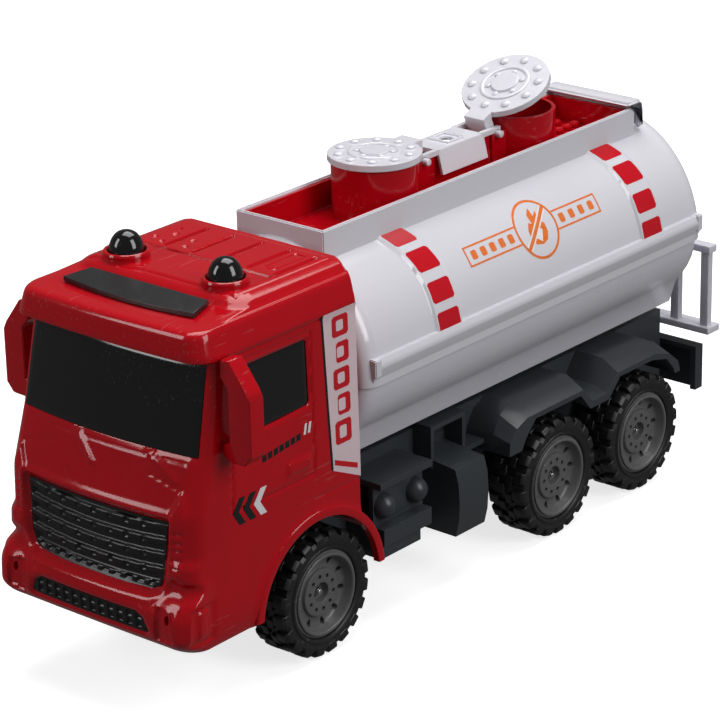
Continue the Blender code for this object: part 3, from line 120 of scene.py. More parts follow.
def moulded(
    name, color, rough, depth=0.06, ripple=0.05, grain=0.05, dust=0.5, scuffs=0.12, **constants
):
    """Plastic from a mould: shifts of colour, flow ripples, fine grain, scuffs and dust specks."""
    made = Finish(name, **{"IOR": 1.5, **constants})
    place = made.node("TexCoord", output="Object")
    flow = made.node(
        "TexNoise", sockets={"Vector": place, "Scale": 38, "Detail": 3, "Distortion": 0.6}
    )
    cloud = made.node("TexNoise", sockets={"Vector": place, "Scale": 210, "Detail": 4})
    fine = made.node("TexNoise", sockets={"Vector": place, "Scale": 3200, "Detail": 2})
    stretched = made.node("Mapping", sockets={0: place, 2: (0.3, 0.2, 0.9), 3: (900, 60, 700)})
    strokes = made.node("TexNoise", sockets={"Vector": stretched, "Scale": 1, "Detail": 2})
    patch = made.node("TexNoise", sockets={"Vector": place, "Scale": 26, "Detail": 1})
    scuffed = (strokes > 0.66) * (patch > 0.54)
    cells = made.node("TexVoronoi", sockets={"Vector": place, "Scale": 150, "Randomness": 1})
    cell_tint = made.node("TexVoronoi", sockets={"Vector": place, "Scale": 150}, output=1)
    lot = made.node("SeparateColor", sockets={0: cell_tint})
    speck = (cells < 0.045) * (lot > 1 - 0.16 * dust)
    darker = tuple(channel * (1 - depth) for channel in color)
    lighter = tuple(min(1, channel * (1 + depth)) for channel in color)
    dusty = tuple(channel * 0.6 + 0.22 for channel in color)
    body = made.blend(flow, darker, lighter)
    body = made.blend(scuffed * 0.1, body, dusty)
    made.feed("Base Color", made.blend(speck * 0.55, body, dusty))
    made.feed("Roughness", rough + (cloud - 0.5) * 0.14 + scuffed * scuffs + speck * 0.25)
    height = flow * ripple + cloud * (ripple * 0.25) + fine * (grain * 0.04) - scuffed * 0.004
    bump = made.node("Bump", sockets={"Strength": 0.5, "Distance": 1 * MM, "Height": height})
    made.feed("Normal", bump)
    return made.material


slate = moulded("slate_satin", (0.036, 0.041, 0.047), 0.34, ripple=0.06, grain=0.25, scuffs=0.1)


def shape_of(node):
    """A node's mesh with its doubles merged and its flat faces made whole."""
    shape = bmesh.new()
    shape.from_mesh(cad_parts[node].data)
    bmesh.ops.remove_doubles(shape, verts=shape.verts, dist=2e-6)
    bmesh.ops.dissolve_limit(
        shape, angle_limit=radians(1), verts=shape.verts[:], edges=shape.edges[:]
    )
    return shape


def eased(shape, width, segments=2, over=32):
    """Rounds every edge that is sharper than an angle, as a mould's edges are."""
    for face in shape.faces:
        face.smooth = True
    sharp = [
        edge
        for edge in shape.edges
        if len(edge.link_faces) == 2 and edge.calc_face_angle(0) > radians(over)
    ]
    bmesh.ops.bevel(
        shape, geom=sharp, offset=width, segments=segments, affect="EDGES", clamp_overlap=True
    )
    return shape


def piece(name, shape, material, body, replaces=(), smooth=40):
    """Turns a bmesh into a finished object that rides on a body."""
    mesh = bpy.data.meshes.new(name)
    bmesh.ops.triangulate(shape, faces=[face for face in shape.faces if len(face.verts) > 4])
    shape.to_mesh(mesh)
    shape.free()
    mesh.shade_smooth()
    mesh.set_sharp_from_angle(angle=radians(smooth))
    rough_cut = bpy.data.objects.new("rough_cut", mesh)
    bpy.context.scene.collection.objects.link(rough_cut)
    weighted = rough_cut.modifiers.new("Weighted", "WEIGHTED_NORMAL")  # keeps large faces flat
    weighted.keep_sharp = True
    graph = bpy.context.evaluated_depsgraph_get()
    finished = bpy.data.meshes.new_from_object(rough_cut.evaluated_get(graph))
    bpy.data.objects.remove(rough_cut, do_unlink=True)
    finished.name = name
    return placed(bpy.data.objects.new(name, finished), material, body, replaces)


def placed(obj, material, body, replaces=()):
    """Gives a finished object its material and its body."""
    if not obj.users_collection:
        bpy.context.scene.collection.objects.link(obj)
    obj.data.materials.clear()
    obj.data.materials.append(material)
    if replaces:
        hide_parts(*replaces)
    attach(obj, body)
    return obj


def block(low, high):
    """A box between two corners, as a bmesh."""
    low, high = Vector(low), Vector(high)
    shape = bmesh.new()
    bmesh.ops.create_cube(shape, size=1)
    bmesh.ops.scale(shape, verts=shape.verts, vec=high - low)
    bmesh.ops.translate(shape, verts=shape.verts, vec=(low + high) / 2)
    return shape


def add_to(shape, *others):
    """Puts other bmeshes into the first and frees them."""
    for other in others:
        mesh = bpy.data.meshes.new("part")
        other.to_mesh(mesh)
        other.free()
        shape.from_mesh(mesh)
        bpy.data.meshes.remove(mesh)
    return shape


def moved(shape, x=0.0, y=0.0, z=0.0, turn=None):
    """Turns a bmesh about the origin and then shifts it."""
    if turn is not None:
        bmesh.ops.transform(shape, matrix=turn.to_4x4(), verts=shape.verts)
    bmesh.ops.translate(shape, verts=shape.verts, vec=(x, y, z))
    return shape


def both_hands(shape):
    """The shape with its mirror image across X = 0."""
    other = shape.copy()
    bmesh.ops.scale(other, verts=other.verts, vec=(-1, 1, 1))
    bmesh.ops.reverse_faces(other, faces=other.faces)
    return add_to(shape, other)


for name, node, edge_width in (
    ("chassis", "chassis_frame", 0.4 * MM),
    ("closing_cover", "chassis_cover", 0.3 * MM),
):
    piece(name, eased(shape_of(node), edge_width), slate, "truck", [node])

# Axles and wheels --------------------------------------------------------------------------------
# Three steel bars carry six wheels. A wheel is a grey moulded rim with ten slots and ten bolt
# holes, and a soft black tyre with chunky shoulder lugs is stretched over it.

AXLES = {place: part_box(f"axle_{place}") for place in ("front", "middle", "rear")}
AXLE_Z = (AXLES["front"][0].z + AXLES["front"][1].z) / 2
TYRE_RADIUS = AXLE_Z  # the tyres stand on Z = 0
TYRE_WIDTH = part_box("tyre_front_left")[1].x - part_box("tyre_front_left")[0].x
RIM_RADIUS = 16 * MM

rubber = moulded("soft_black_tyre", (0.011, 0.011, 0.0115), 0.42, ripple=0.05, grain=0.5, dust=1.6)
rim_grey = moulded("rim_grey", (0.115, 0.115, 0.118), 0.36, ripple=0.05, grain=0.2, scuffs=0.1)
steel = moulded("plated_steel", (0.6, 0.6, 0.61), 0.26, ripple=0.02, dust=0, Metallic=1.0)


def repeat_tree():
    """Geometry Nodes that lay copies of a piece along a step, each turned about X and Z."""
    tree = bpy.data.node_groups.new("repeat_piece", "GeometryNodeTree")
    interface = tree.interface
    interface.new_socket("Piece", in_out="INPUT", socket_type="NodeSocketGeometry")
    for label, kind in (
        ("Count", "Int"),
        ("Step", "Vector"),
        ("Turn about X", "Float"),
        ("Turn about Z", "Float"),
        ("Start", "Vector"),
        ("Material", "Material"),
    ):
        interface.new_socket(label, in_out="INPUT", socket_type="NodeSocket" + kind)
    interface.new_socket("Copies", in_out="OUTPUT", socket_type="NodeSocketGeometry")
    add, link = tree.nodes.new, tree.links.new
    given, result = add("NodeGroupInput"), add("NodeGroupOutput")
    index, points = add("GeometryNodeInputIndex"), add("GeometryNodePoints")
    along, offset = add("ShaderNodeVectorMath"), add("ShaderNodeVectorMath")
    about_x, about_z = add("ShaderNodeMath"), add("ShaderNodeMath")
    turn, copies = add("ShaderNodeCombineXYZ"), add("GeometryNodeInstanceOnPoints")
    real, painted = add("GeometryNodeRealizeInstances"), add("GeometryNodeSetMaterial")
    along.operation, offset.operation = "SCALE", "ADD"
    about_x.operation = about_z.operation = "MULTIPLY"
    link(given.outputs["Step"], along.inputs[0])
    link(index.outputs[0], along.inputs["Scale"])
    link(along.outputs[0], offset.inputs[0])
    link(given.outputs["Start"], offset.inputs[1])
    link(given.outputs["Count"], points.inputs["Count"])
    link(offset.outputs[0], points.inputs["Position"])
    for angle, label in ((about_x, "Turn about X"), (about_z, "Turn about Z")):
        link(index.outputs[0], angle.inputs[0])
        link(given.outputs[label], angle.inputs[1])
    link(about_x.outputs[0], turn.inputs["X"])
    link(about_z.outputs[0], turn.inputs["Z"])
    link(points.outputs[0], copies.inputs["Points"])
    link(given.outputs["Piece"], copies.inputs["Instance"])
    link(turn.outputs[0], copies.inputs["Rotation"])
    link(copies.outputs[0], real.inputs[0])
    link(real.outputs[0], painted.inputs["Geometry"])
    link(given.outputs["Material"], painted.inputs["Material"])
    link(painted.outputs[0], result.inputs[0])
    return tree


REPEAT = repeat_tree()


def repeated(shape, count, material, step=(0, 0, 0), about_x=0.0, about_z=0.0, start=(0, 0, 0)):
    """Copies of a bmesh made by the tree, as one bmesh."""
    mesh = bpy.data.meshes.new("one")
    shape.to_mesh(mesh)
    shape.free()
    holder = bpy.data.objects.new("repeat", mesh)
    bpy.context.scene.collection.objects.link(holder)
    modifier = holder.modifiers.new("Repeat", "NODES")
    modifier.node_group = REPEAT
    values = {
        "Count": count,
        "Step": step,
        "Turn about X": about_x,
        "Turn about Z": about_z,
        "Start": start,
        "Material": material,
    }
    for item in REPEAT.interface.items_tree:
        if item.in_out == "INPUT" and item.name in values:
            modifier[item.identifier] = values[item.name]
    holder.update_tag()
    graph = bpy.context.evaluated_depsgraph_get()
    made = bpy.data.meshes.new_from_object(holder.evaluated_get(graph))
    bpy.data.objects.remove(holder, do_unlink=True)
    result = bmesh.new()
    result.from_mesh(made)
    return result


def turned(profile, steps):
    """A closed outline of (x, radius) points turned about the X axis."""
    shape = bmesh.new()
    rings = []
    for i in range(steps):
        angle = 2 * pi * i / steps
        rings.append([shape.verts.new((x, r * cos(angle), r * sin(angle))) for x, r in profile])
    for here, there in zip(rings, rings[1:] + rings[:1]):
        for i in range(len(profile)):
            k = (i + 1) % len(profile)
            shape.faces.new((here[i], here[k], there[k], there[i]))
    bmesh.ops.recalc_face_normals(shape, faces=shape.faces)
    return shape


def lofted(rings):
    """Rings of points joined one to the next, with both ends filled."""
    shape = bmesh.new()
    loops = [[shape.verts.new(point) for point in ring] for ring in rings]
    for here, there in zip(loops, loops[1:]):
        for i in range(len(here)):
            k = (i + 1) % len(here)
            shape.faces.new((here[i], here[k], there[k], there[i]))
    shape.faces.new(loops[0])
    shape.faces.new(loops[-1])
    bmesh.ops.recalc_face_normals(shape, faces=shape.faces)
    return shape


def flat_prism(outline, low, high, axis="X"):
    """A flat outline made solid along an axis. Its points are (y, z), (x, z) or (x, y)."""
    lift = {
        "X": lambda a, b, h: (h, a, b),
        "Y": lambda a, b, h: (a, h, b),
        "Z": lambda a, b, h: (a, b, h),
    }[axis]
    return lofted([[lift(a, b, height) for a, b in outline] for height in (low, high)])


def carved(shape, cutters, operation="DIFFERENCE", solver="EXACT"):
    """The shape after Booleans with other bmeshes."""
    holders = []
    for part in (shape, *cutters):
        mesh = bpy.data.meshes.new("part")
        part.to_mesh(mesh)
        part.free()
        holders.append(bpy.data.objects.new("part", mesh))
        bpy.context.scene.collection.objects.link(holders[-1])
    for tool in holders[1:]:
        modifier = holders[0].modifiers.new("Boolean", "BOOLEAN")
        modifier.operation, modifier.object, modifier.solver = operation, tool, solver
    graph = bpy.context.evaluated_depsgraph_get()
    made = bpy.data.meshes.new_from_object(holders[0].evaluated_get(graph))
    for holder in holders:
        bpy.data.objects.remove(holder, do_unlink=True)
    result = bmesh.new()
    result.from_mesh(made)
    return result


W, R = TYRE_WIDTH, TYRE_RADIUS
LUGS = 20


def tyre_shape():
    """A tyre with its inner face at X = 0 and its outer face at X = W."""
    bead, side = RIM_RADIUS + 0.15 * MM, R - 3.4 * MM
    half = [
        (1.0 * MM, bead),
        (0.35 * MM, bead + 0.5 * MM),
        (0.1 * MM, bead + 1.6 * MM),
        (0.55 * MM, bead + 1.9 * MM),
        (0.15 * MM, side),
        (0.9 * MM, R - 2.2 * MM),
        (2.4 * MM, R - 1.75 * MM),
        (W / 2 - 1 * MM, R - 1.6 * MM),
    ]
    carcass = turned(half + [(W - x, r) for x, r in reversed(half)], 80)
    pitch = 2 * pi / LUGS
    long_half, top_half = 0.29 * pitch * R, 0.25 * pitch * R
    shoulder = bmesh.new()
    section = [
        (W - 5.6 * MM, R - 2.1 * MM),
        (W - 5.2 * MM, R - 0.25 * MM),
        (W - 1.3 * MM, R - 0.3 * MM),
        (W - 0.05 * MM, R - 1.5 * MM),
        (W + 0.0 * MM, R - 4.2 * MM),
        (W - 0.7 * MM, R - 4.7 * MM),
        (W - 1.2 * MM, R - 2.1 * MM),
    ]
    sides = []
    for sign in (-1, 1):
        sides.append(
            [
                shoulder.verts.new((x, sign * (top_half if r > R - 1 * MM else long_half), r))
                for x, r in section
            ]
        )
    for i in range(len(section)):
        k = (i + 1) % len(section)
        shoulder.faces.new((sides[0][i], sides[0][k], sides[1][k], sides[1][i]))
    shoulder.faces.new(sides[0])
    shoulder.faces.new(sides[1])
    bmesh.ops.recalc_face_normals(shoulder, faces=shoulder.faces)
    eased(shoulder, 0.3 * MM, 1)
    inner = shoulder.copy()
    bmesh.ops.scale(inner, verts=inner.verts, vec=(-1, 1, 1))
    bmesh.ops.reverse_faces(inner, faces=inner.faces)
    moved(inner, x=W)
    moved(inner, turn=Matrix.Rotation(pitch / 2, 3, "X"))
    add_to(shoulder, inner)
    for low_x, high_x, phase in ((-3.1, -0.2, 0.75), (0.2, 3.1, 0.25)):
        low = (W / 2 + low_x * MM, -1.9 * MM, R - 2 * MM)
        centre_lug = block(low, (W / 2 + high_x * MM, 1.9 * MM, R - 0.3 * MM))
        eased(centre_lug, 0.25 * MM, 1)
        add_to(shoulder, moved(centre_lug, turn=Matrix.Rotation(pitch * phase, 3, "X")))
    lugs = repeated(shoulder, LUGS, rubber, about_x=pitch)
    return add_to(carcass, lugs)


HUB_HOLES = 10  # slots, and as many bolt holes


def circle(a, b, radius, count, tall=None):
    """Points round a circle, or round an ellipse that is tall along its second axis."""
    turns = np.linspace(0, 2 * pi, count, endpoint=False)
    return [(a + radius * cos(t), b + (tall or radius) * sin(t)) for t in turns]


def rim_shape():
    """A rim whose outer lip is at X = W, with its slots and bolt holes cut."""
    dish = W - 4 * MM
    profile = [
        (1 * MM, RIM_RADIUS),
        (1 * MM, RIM_RADIUS - 1.6 * MM),
        (dish - 2.4 * MM, RIM_RADIUS - 2 * MM),
        (dish - 2.4 * MM, 4.6 * MM),
        (1.5 * MM, 4.2 * MM),
        (1.5 * MM, 1.75 * MM),
        (dish - 1.4 * MM, 1.75 * MM),
        (dish - 1.3 * MM, 3.1 * MM),
        (dish - 0.4 * MM, 3.5 * MM),
        (dish + 1.1 * MM, 3.7 * MM),
        (dish + 1.35 * MM, 4.0 * MM),
        (dish + 1.35 * MM, 8.3 * MM),
        (dish + 1.1 * MM, 8.7 * MM),
        (dish + 0.1 * MM, 9.0 * MM),
        (dish - 0.1 * MM, 9.3 * MM),
        (dish - 0.35 * MM, 10.8 * MM),
        (dish - 0.1 * MM, 12.2 * MM),
        (dish + 0.8 * MM, 13.1 * MM),
        (W - 0.9 * MM, 13.75 * MM),
        (W - 0.25 * MM, 14.0 * MM),
        (W - 0.05 * MM, 14.3 * MM),
        (W - 0.05 * MM, 14.9 * MM),
        (W - 0.3 * MM, 15.2 * MM),
        (W - 1.0 * MM, 15.3 * MM),
        (W - 1.2 * MM, RIM_RADIUS),
    ]
    rim = turned(profile, 80)
    tear = [(1.0 * MM * cos(a), 11.9 * MM + 1.0 * MM * sin(a)) for a in np.linspace(0, pi, 9)]
    tear += [(-0.7 * MM, 10.9 * MM), (0, 9.9 * MM), (0.7 * MM, 10.9 * MM)]
    slot = flat_prism(tear, dish - 4 * MM, W)
    bolt = flat_prism(circle(0, 6.3 * MM, 0.8 * MM, 12), dish, W)
    slots = repeated(slot, HUB_HOLES, rim_grey, about_x=2 * pi / HUB_HOLES)
    bolts = repeated(bolt, HUB_HOLES, rim_grey, about_x=2 * pi / HUB_HOLES)
    return carved(rim, [slots, bolts])


tyre_model, rim_model = tyre_shape(), rim_shape()
BAR_RADIUS, STUB_RADIUS, CENTRE = 1.5 * MM, 1.1 * MM, 0.01 * MM
FRONT_TURN, REAR_TURN = radians(7), radians(20)  # how far the wheels stand turned at rest
for place, (low, high) in AXLES.items():
    body = f"{place}_wheels"
    y = (low.y + high.y) / 2
    bar_profile = [(low.x, CENTRE), (low.x, 1.2 * MM), (low.x + 0.4 * MM, BAR_RADIUS)]
    bar_profile += [(high.x - 0.4 * MM, BAR_RADIUS), (high.x, 1.2 * MM), (high.x, CENTRE)]
    bar = turned(bar_profile, 24)
    for end in (low.x, high.x):
        stub = [(end - 1 * MM, CENTRE), (end - 1 * MM, STUB_RADIUS), (end + 0.8 * MM, STUB_RADIUS)]
        add_to(bar, turned(stub + [(end + 1 * MM, 0.8 * MM), (end + 1 * MM, CENTRE)], 16))
    piece(f"axle_bar_{place}", moved(bar, 0, y, AXLE_Z), steel, body, [f"axle_{place}"])
    for hand, facing in (("left", 0), ("right", pi)):
        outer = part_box(f"tyre_{place}_{hand}")
        inner_x = outer[0].x if hand == "left" else outer[1].x
        rolled = Matrix.Rotation(FRONT_TURN if place == "front" else REAR_TURN, 3, "X")
        spin = Matrix.Rotation(facing, 3, "Z") @ rolled
        for model, name, material, slot in (
            (tyre_model, "tyre", rubber, "tyre"),
            (rim_model, "rim", rim_grey, "grey_plastic"),
        ):
            node = f"{name}_{place}_{hand}"
            shape = moved(model.copy(), inner_x, y, AXLE_Z, spin)
            piece(f"{node}_finished", shape, material, body, [node])

# Cab shell ---------------------------------------------------------------------------------------
# One glossy red moulding with a deep visor lip, recessed windscreen and grille openings, moulded
# lamps, steps and door seams. It is screwed to the chassis from below.

CAB_LOW, CAB_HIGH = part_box("cab_shell")
CAB_HALF = CAB_HIGH.x
CAB_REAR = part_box("tank_upper_shell")[0].y - 5 * MM  # the mudguards reach further back than this
CAB_FRONT = CAB_LOW.y
CAB_BOTTOM = CAB_LOW.z
LEVELS = np.array(  # height over the lower edge, setback, narrowing and bow of the front, in mm
    (
        (0, 8.2, 1.6, 0.3),
        (1.5, 5.4, 1.0, 0.3),
        (3.5, 2.6, 0.5, 0.6),
        (7, 0.6, 0.0, 1.8),
        (14, 0.2, 0.0, 3.0),
        (18, 1.6, 0.1, 3.6),
        (21.5, 4.4, 0.2, 3.8),
        (49, 5.9, 0.4, 3.8),
        (68, 11.8, 0.8, 3.8),
        (99.6, 18.8, 1.2, 3.8),
        (100.4, 17.8, 1.1, 3.2),
        (100.8, 14.4, 0.7, 1.8),
        (101.6, 13.6, 0.6, 1.8),
        (109.6, 15.0, 2.6, 1.6),
        (110.8, 16.6, 3.4, 1.6),
        (111.1, 24.5, 4.2, 1.5),
        (112.3, 39.0, 5.4, 1.0),
        (114.0, 40.6, 6.8, 0.8),
        (115.0, 43.0, 9.4, 0.6),
    )
)
ARCH_Y = (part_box("tyre_front_left")[0].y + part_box("tyre_front_left")[1].y) / 2 - 4.3 * MM
ARCH_RADIUS = 30.5 * MM
ROOF_Z = CAB_BOTTOM + 115 * MM
PAST_CAB = 60 * MM  # wider than the cab on either side
BEAM_NOTCH = 23.8 * MM  # half the gap that lets the chassis through the rear wall

gloss_red = moulded(
    "gloss_red", (0.46, 0.002, 0.008), 0.13, depth=0.07, dust=0.9,
    IOR=1.4, Coat_Weight=0.15, Coat_Roughness=0.06,
)


def eased_path(levels, radius, spacing):
    """The levels as a path with rounded corners, sampled evenly."""
    points = [levels[0]]
    for before, here, after in zip(levels, levels[1:], levels[2:]):
        to_before, to_after = before - here, after - here
        reach = [min(radius, 0.45 * hypot(*side[:2])) for side in (to_before, to_after)]
        start = here + to_before / hypot(*to_before[:2]) * reach[0]
        end = here + to_after / hypot(*to_after[:2]) * reach[1]
        for t in (0.0, 0.33, 0.67, 1.0):
            points.append((1 - t) ** 2 * start + 2 * t * (1 - t) * here + t**2 * end)
    points = np.array(points + [levels[-1]])
    steps = np.hypot(*np.diff(points[:, :2], axis=0).T)
    along = np.concatenate(([0], np.cumsum(steps)))
    marks = np.linspace(0, along[-1], int(along[-1] / spacing) + 1)
    return np.array([np.interp(marks, along, points[:, i]) for i in range(4)]).T


def inside(points, outline):
    """Signed distance in mm from flat points to an outline, positive inside it."""
    outline = np.array(outline, float)
    best = np.full(len(points), 1e9)
    odd = np.zeros(len(points), bool)
    for a, b in zip(outline, np.roll(outline, -1, axis=0)):
        edge, away = b - a, points - a
        t = np.clip(away @ edge / (edge @ edge), 0, 1)
        best = np.minimum(best, np.hypot(*(away - t[:, None] * edge).T))
        crosses = (a[1] > points[:, 1]) != (b[1] > points[:, 1])
        at = (b[0] - a[0]) * (points[:, 1] - a[1]) / (b[1] - a[1] + 1e-12) + a[0]
        odd ^= crosses & (points[:, 0] < at)
    return np.where(odd, best, -best)


def ramp(value, low, high):
    """0 before low, 1 past high and a soft step between them."""
    t = np.clip((value - low) / (high - low), 0, 1)
    return t * t * (3 - 2 * t)


def groove(distance, width, depth):
    """A flat-bottomed groove, as height over the distance from its middle."""
    return -depth * (1 - ramp(np.abs(distance), width * 0.2, width / 2))


WINDSCREEN = [(-40.2, 68.2), (40.2, 68.2), (39.4, 98.9), (-39.4, 98.9)]
GRILLE = [
    (-29.4, 22.6), (-26, 21.2), (-15, 20.8), (15, 20.8), (26, 21.2), (29.4, 22.6),
    (31, 27), (32.6, 46.2), (-32.6, 46.2), (-31, 27),
]
LOWER_GRILLE = [
    (-27.4, 7.5), (-26.4, 6.6), (26.4, 6.6), (27.4, 7.5), (25.4, 11.8), (22.4, 13.6), (-22.4, 13.6),
    (-25.4, 11.8)
]
REAR_MM = CAB_REAR / MM
SIDE_WINDOW = [
    (REAR_MM - 63.2, 70.2), (REAR_MM - 62.4, 69.9), (REAR_MM - 27, 71.2), (REAR_MM - 26, 72.4),
    (REAR_MM - 26.4, 94), (REAR_MM - 27.6, 95), (REAR_MM - 60, 95), (REAR_MM - 61.4, 94),
]
FOG_RECESS = [(31, 5.5), (38.5, 6.2), (38, 16), (31, 17)]
LAMP = [(34.5, 27), (39.5, 28), (40.8, 50), (37.5, 57), (34, 50)]
WIPERS = (
    ((-13.6, 68), (-3.2, 59)), ((-11.4, 68), (-1.2, 58.6)), ((20, 67.6), (33, 59.6)), (
        (22.4, 67.6), (35, 59.8)
    ),
)


def front_relief(x, h):
    """How far the front stands out of its plain form, in mm, over x and height."""
    at = np.column_stack((np.abs(x), h))
    real = np.column_stack((x, h))
    in_grille = inside(real, GRILLE)
    out = -0.9 * ramp(inside(real, WINDSCREEN), -1.6, 0.2)
    out += -1.2 * ramp(in_grille, -1.8, 0.3)
    out += 0.5 * ramp(in_grille, -4.6, -2.6) * (1 - ramp(in_grille, -2.2, -0.6))
    out += -1.0 * ramp(inside(real, LOWER_GRILLE), -1.4, 0.3)
    out += -1.3 * ramp(inside(at, FOG_RECESS), -0.6, 0.8)
    out += 0.9 * ramp(inside(at, LAMP), -1.0, 1.0)
    for height in (31, 34, 37, 40, 43):
        out += groove(h - height, 1.3, 0.5) * ramp(inside(at, LAMP), 0.4, 1.2)
    for start, end in WIPERS:
        a, b = np.array(start, float), np.array(end, float)
        t = np.clip((real - a) @ (b - a) / ((b - a) @ (b - a)), 0, 1)
        away = np.hypot(*(real - a - t[:, None] * (b - a)).T)
        out += 0.5 * (1 - ramp(away, 0.1, 0.8))
    slant = (at[:, 1] - 59) + (at[:, 0] - 30) * 0.25  # the bonnet's seams
    out += groove(slant, 1.0, 0.25) * ramp(at[:, 0], 20, 24) * (1 - ramp(at[:, 0], 37, 40))
    out += groove(h - 66.2, 1.2, 0.25) * (1 - ramp(np.abs(x), 38, 40))
    return out


DOOR = [(REAR_MM - 66, 46), (REAR_MM - 24.4, 46), (REAR_MM - 24.4, 97.4), (REAR_MM - 64, 97.4)]


def side_relief(y, h):
    """How far a side stands out of its plain form, in mm, over y and height."""
    at = np.column_stack((y, h))
    out = -0.7 * ramp(inside(at, SIDE_WINDOW), -1.3, 0.2)
    radius = np.hypot(y - ARCH_Y / MM, h - (AXLE_Z - CAB_BOTTOM) / MM)
    out += 0.5 * (1 - ramp(radius, 33.4, 36))
    out += groove(inside(at, DOOR), 1.1, 0.55)
    handle = [(REAR_MM - 39, 49), (REAR_MM - 27, 49), (REAR_MM - 27, 54), (REAR_MM - 39, 54)]
    out += 0.7 * ramp(inside(at, handle), -0.4, 0.7)
    out += groove(h - 99.4, 1.0, 0.35) * ramp(y, REAR_MM - 72, REAR_MM - 66)
    # The step's sunk panel and its rib, and the crease over it.
    step_panel = [(REAR_MM - 90, 4), (REAR_MM - 77.5, 4), (REAR_MM - 77, 18), (REAR_MM - 89, 18)]
    out += -0.7 * ramp(inside(at, step_panel), -0.5, 0.7)
    rib = [(REAR_MM - 86, 5.5), (REAR_MM - 81, 5.5), (REAR_MM - 81, 16.5), (REAR_MM - 86, 16.5)]
    out += 0.8 * ramp(inside(at, rib), -0.4, 0.7)
    crease = h - 22 - 0.36 * (y - REAR_MM + 92)
    out += 0.9 * ramp(crease, 1.2, -1.2) * ramp(y, REAR_MM - 76, REAR_MM - 86) * ramp(h, 3, 10)
    out += groove(h - 36, 1.2, 0.35) * ramp(y, REAR_MM - 30, REAR_MM - 26)
    return out


def cab_form():
    """The cab's outer skin, fine enough to carry its moulded relief."""
    path = eased_path(LEVELS, 1.6, 0.85)
    half_mm, front_mm = CAB_HALF / MM, CAB_FRONT / MM
    count = 96
    rings = []
    for h, setback, narrow, bow in path:
        half = half_mm - narrow
        lobe = ramp(h, 1, 7) * (1 - ramp(h, 19, 23)) + 0.75 * ramp(h, 24, 27) * (
            1 - ramp(h, 31, 35)
        )
        corner = 7.0 - 2.6 * lobe
        flat = half - corner
        front = front_mm + setback
        xs = np.linspace(-flat, flat, count + 1)
        ys = front + bow * (xs / half) ** 2 * (1 - 0.25 * lobe) - 0.8 * lobe * ramp(
            np.abs(xs), 30, 38
        )
        edge = ys[-1] + corner
        angles = np.radians(np.linspace(90 / 13, 90, 13))
        arc_x, arc_y = flat + corner * np.sin(angles), edge - corner * np.cos(angles)
        side_y = np.linspace(edge, REAR_MM - 1.6, 92)[1:]
        rear_x = np.linspace(half - 1.6, 0, 14)
        right_x = np.concatenate((xs[xs > 1e-6], arc_x, np.full(len(side_y), half), rear_x))
        right_y = np.concatenate((ys[xs > 1e-6], arc_y, side_y, np.full(len(rear_x), REAR_MM)))
        x = np.concatenate(([0], right_x, -right_x[:-1][::-1]))
        y = np.concatenate(([ys[count // 2]], right_y, right_y[:-1][::-1]))
        turn = np.clip((np.abs(x) - flat) / corner, 0, 1)
        facing_front = (y < edge + 0.1) * np.cos(turn * pi / 2)
        facing_side = ramp(turn, 0.8, 1.0) * (y < REAR_MM - 0.4)
        reach = front_relief(x, np.full(len(x), h)) * facing_front * (h < 100)
        flank = side_relief(y, np.full(len(x), h)) * facing_side * (h < 104)
        y = y - reach
        x = x + np.sign(x) * flank
        z = CAB_BOTTOM / MM + h
        rings.append([(a * MM, b * MM, z * MM) for a, b in zip(x, y)])
    return lofted(rings)


def scaled_outline(outline):
    """An outline in mm over the cab's lower edge, made metres over the ground."""
    return [(a * MM, CAB_BOTTOM + b * MM) for a, b in outline]


def cab_hollow():
    """The plain inner form that leaves a wall of about 2 mm."""
    rings = []
    for h, setback, narrow, bow in LEVELS:
        if 100 < h < 111 or h > 112.4:
            continue
        half = CAB_HALF / MM - narrow - 2.6
        front = CAB_FRONT / MM + max(setback, 5 if h < 20 else 0) + 4.2
        low = CAB_BOTTOM / MM + (h - 3 if h == 0 else h)
        xs = np.linspace(-half + 4, half - 4, 9)
        points = [(x, front + bow * (x / half) ** 2) for x in xs]
        points += [(half, front + bow + 4), (half, REAR_MM - 2.2)]
        points += [(-half, REAR_MM - 2.2), (-half, front + bow + 4)]
        rings.append([(x * MM, y * MM, low * MM) for x, y in points])
    return lofted(rings)


arch_edge = [
    (-PAST_CAB, ARCH_RADIUS), (PAST_CAB, ARCH_RADIUS), (PAST_CAB, 0.1 * MM), (-PAST_CAB, 0.1 * MM)
]
arch = turned(arch_edge, 96)
moved(arch, 0, ARCH_Y, AXLE_Z)
nose = (CAB_FRONT - 5 * MM, CAB_FRONT + 25 * MM)
cutters = [
    cab_hollow(),
    flat_prism(scaled_outline(WINDSCREEN), *nose, "Y"),
    flat_prism(scaled_outline(GRILLE), *nose, "Y"),
    flat_prism(scaled_outline(LOWER_GRILLE), *nose, "Y"),
    flat_prism(scaled_outline(SIDE_WINDOW), -PAST_CAB, PAST_CAB),
    arch,
    block(
        (-BEAM_NOTCH, CAB_REAR - 4 * MM, 0),
        (BEAM_NOTCH, CAB_REAR + 4 * MM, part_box("chassis_frame")[1].z),
    ),
]
roof_half, roof_front = CAB_HALF / MM - 10.2, CAB_FRONT / MM + 43.8
roof_low = (-(roof_half - 0.8) * MM, (roof_front + 0.8) * MM, ROOF_Z - 1.7 * MM)
cutters.append(block(roof_low, ((roof_half - 0.8) * MM, CAB_REAR - 3 * MM, ROOF_Z + 5 * MM)))
for side in (-1, 1):
    fog_hole = circle(side * 35.6 * MM, CAB_BOTTOM + 13.4 * MM, 1.1 * MM, 14, 1.7 * MM)
    cutters.append(flat_prism(fog_hole, CAB_FRONT - 2 * MM, CAB_FRONT + 4.2 * MM, "Y"))
cab = carved(cab_form(), cutters, solver="MANIFOLD")


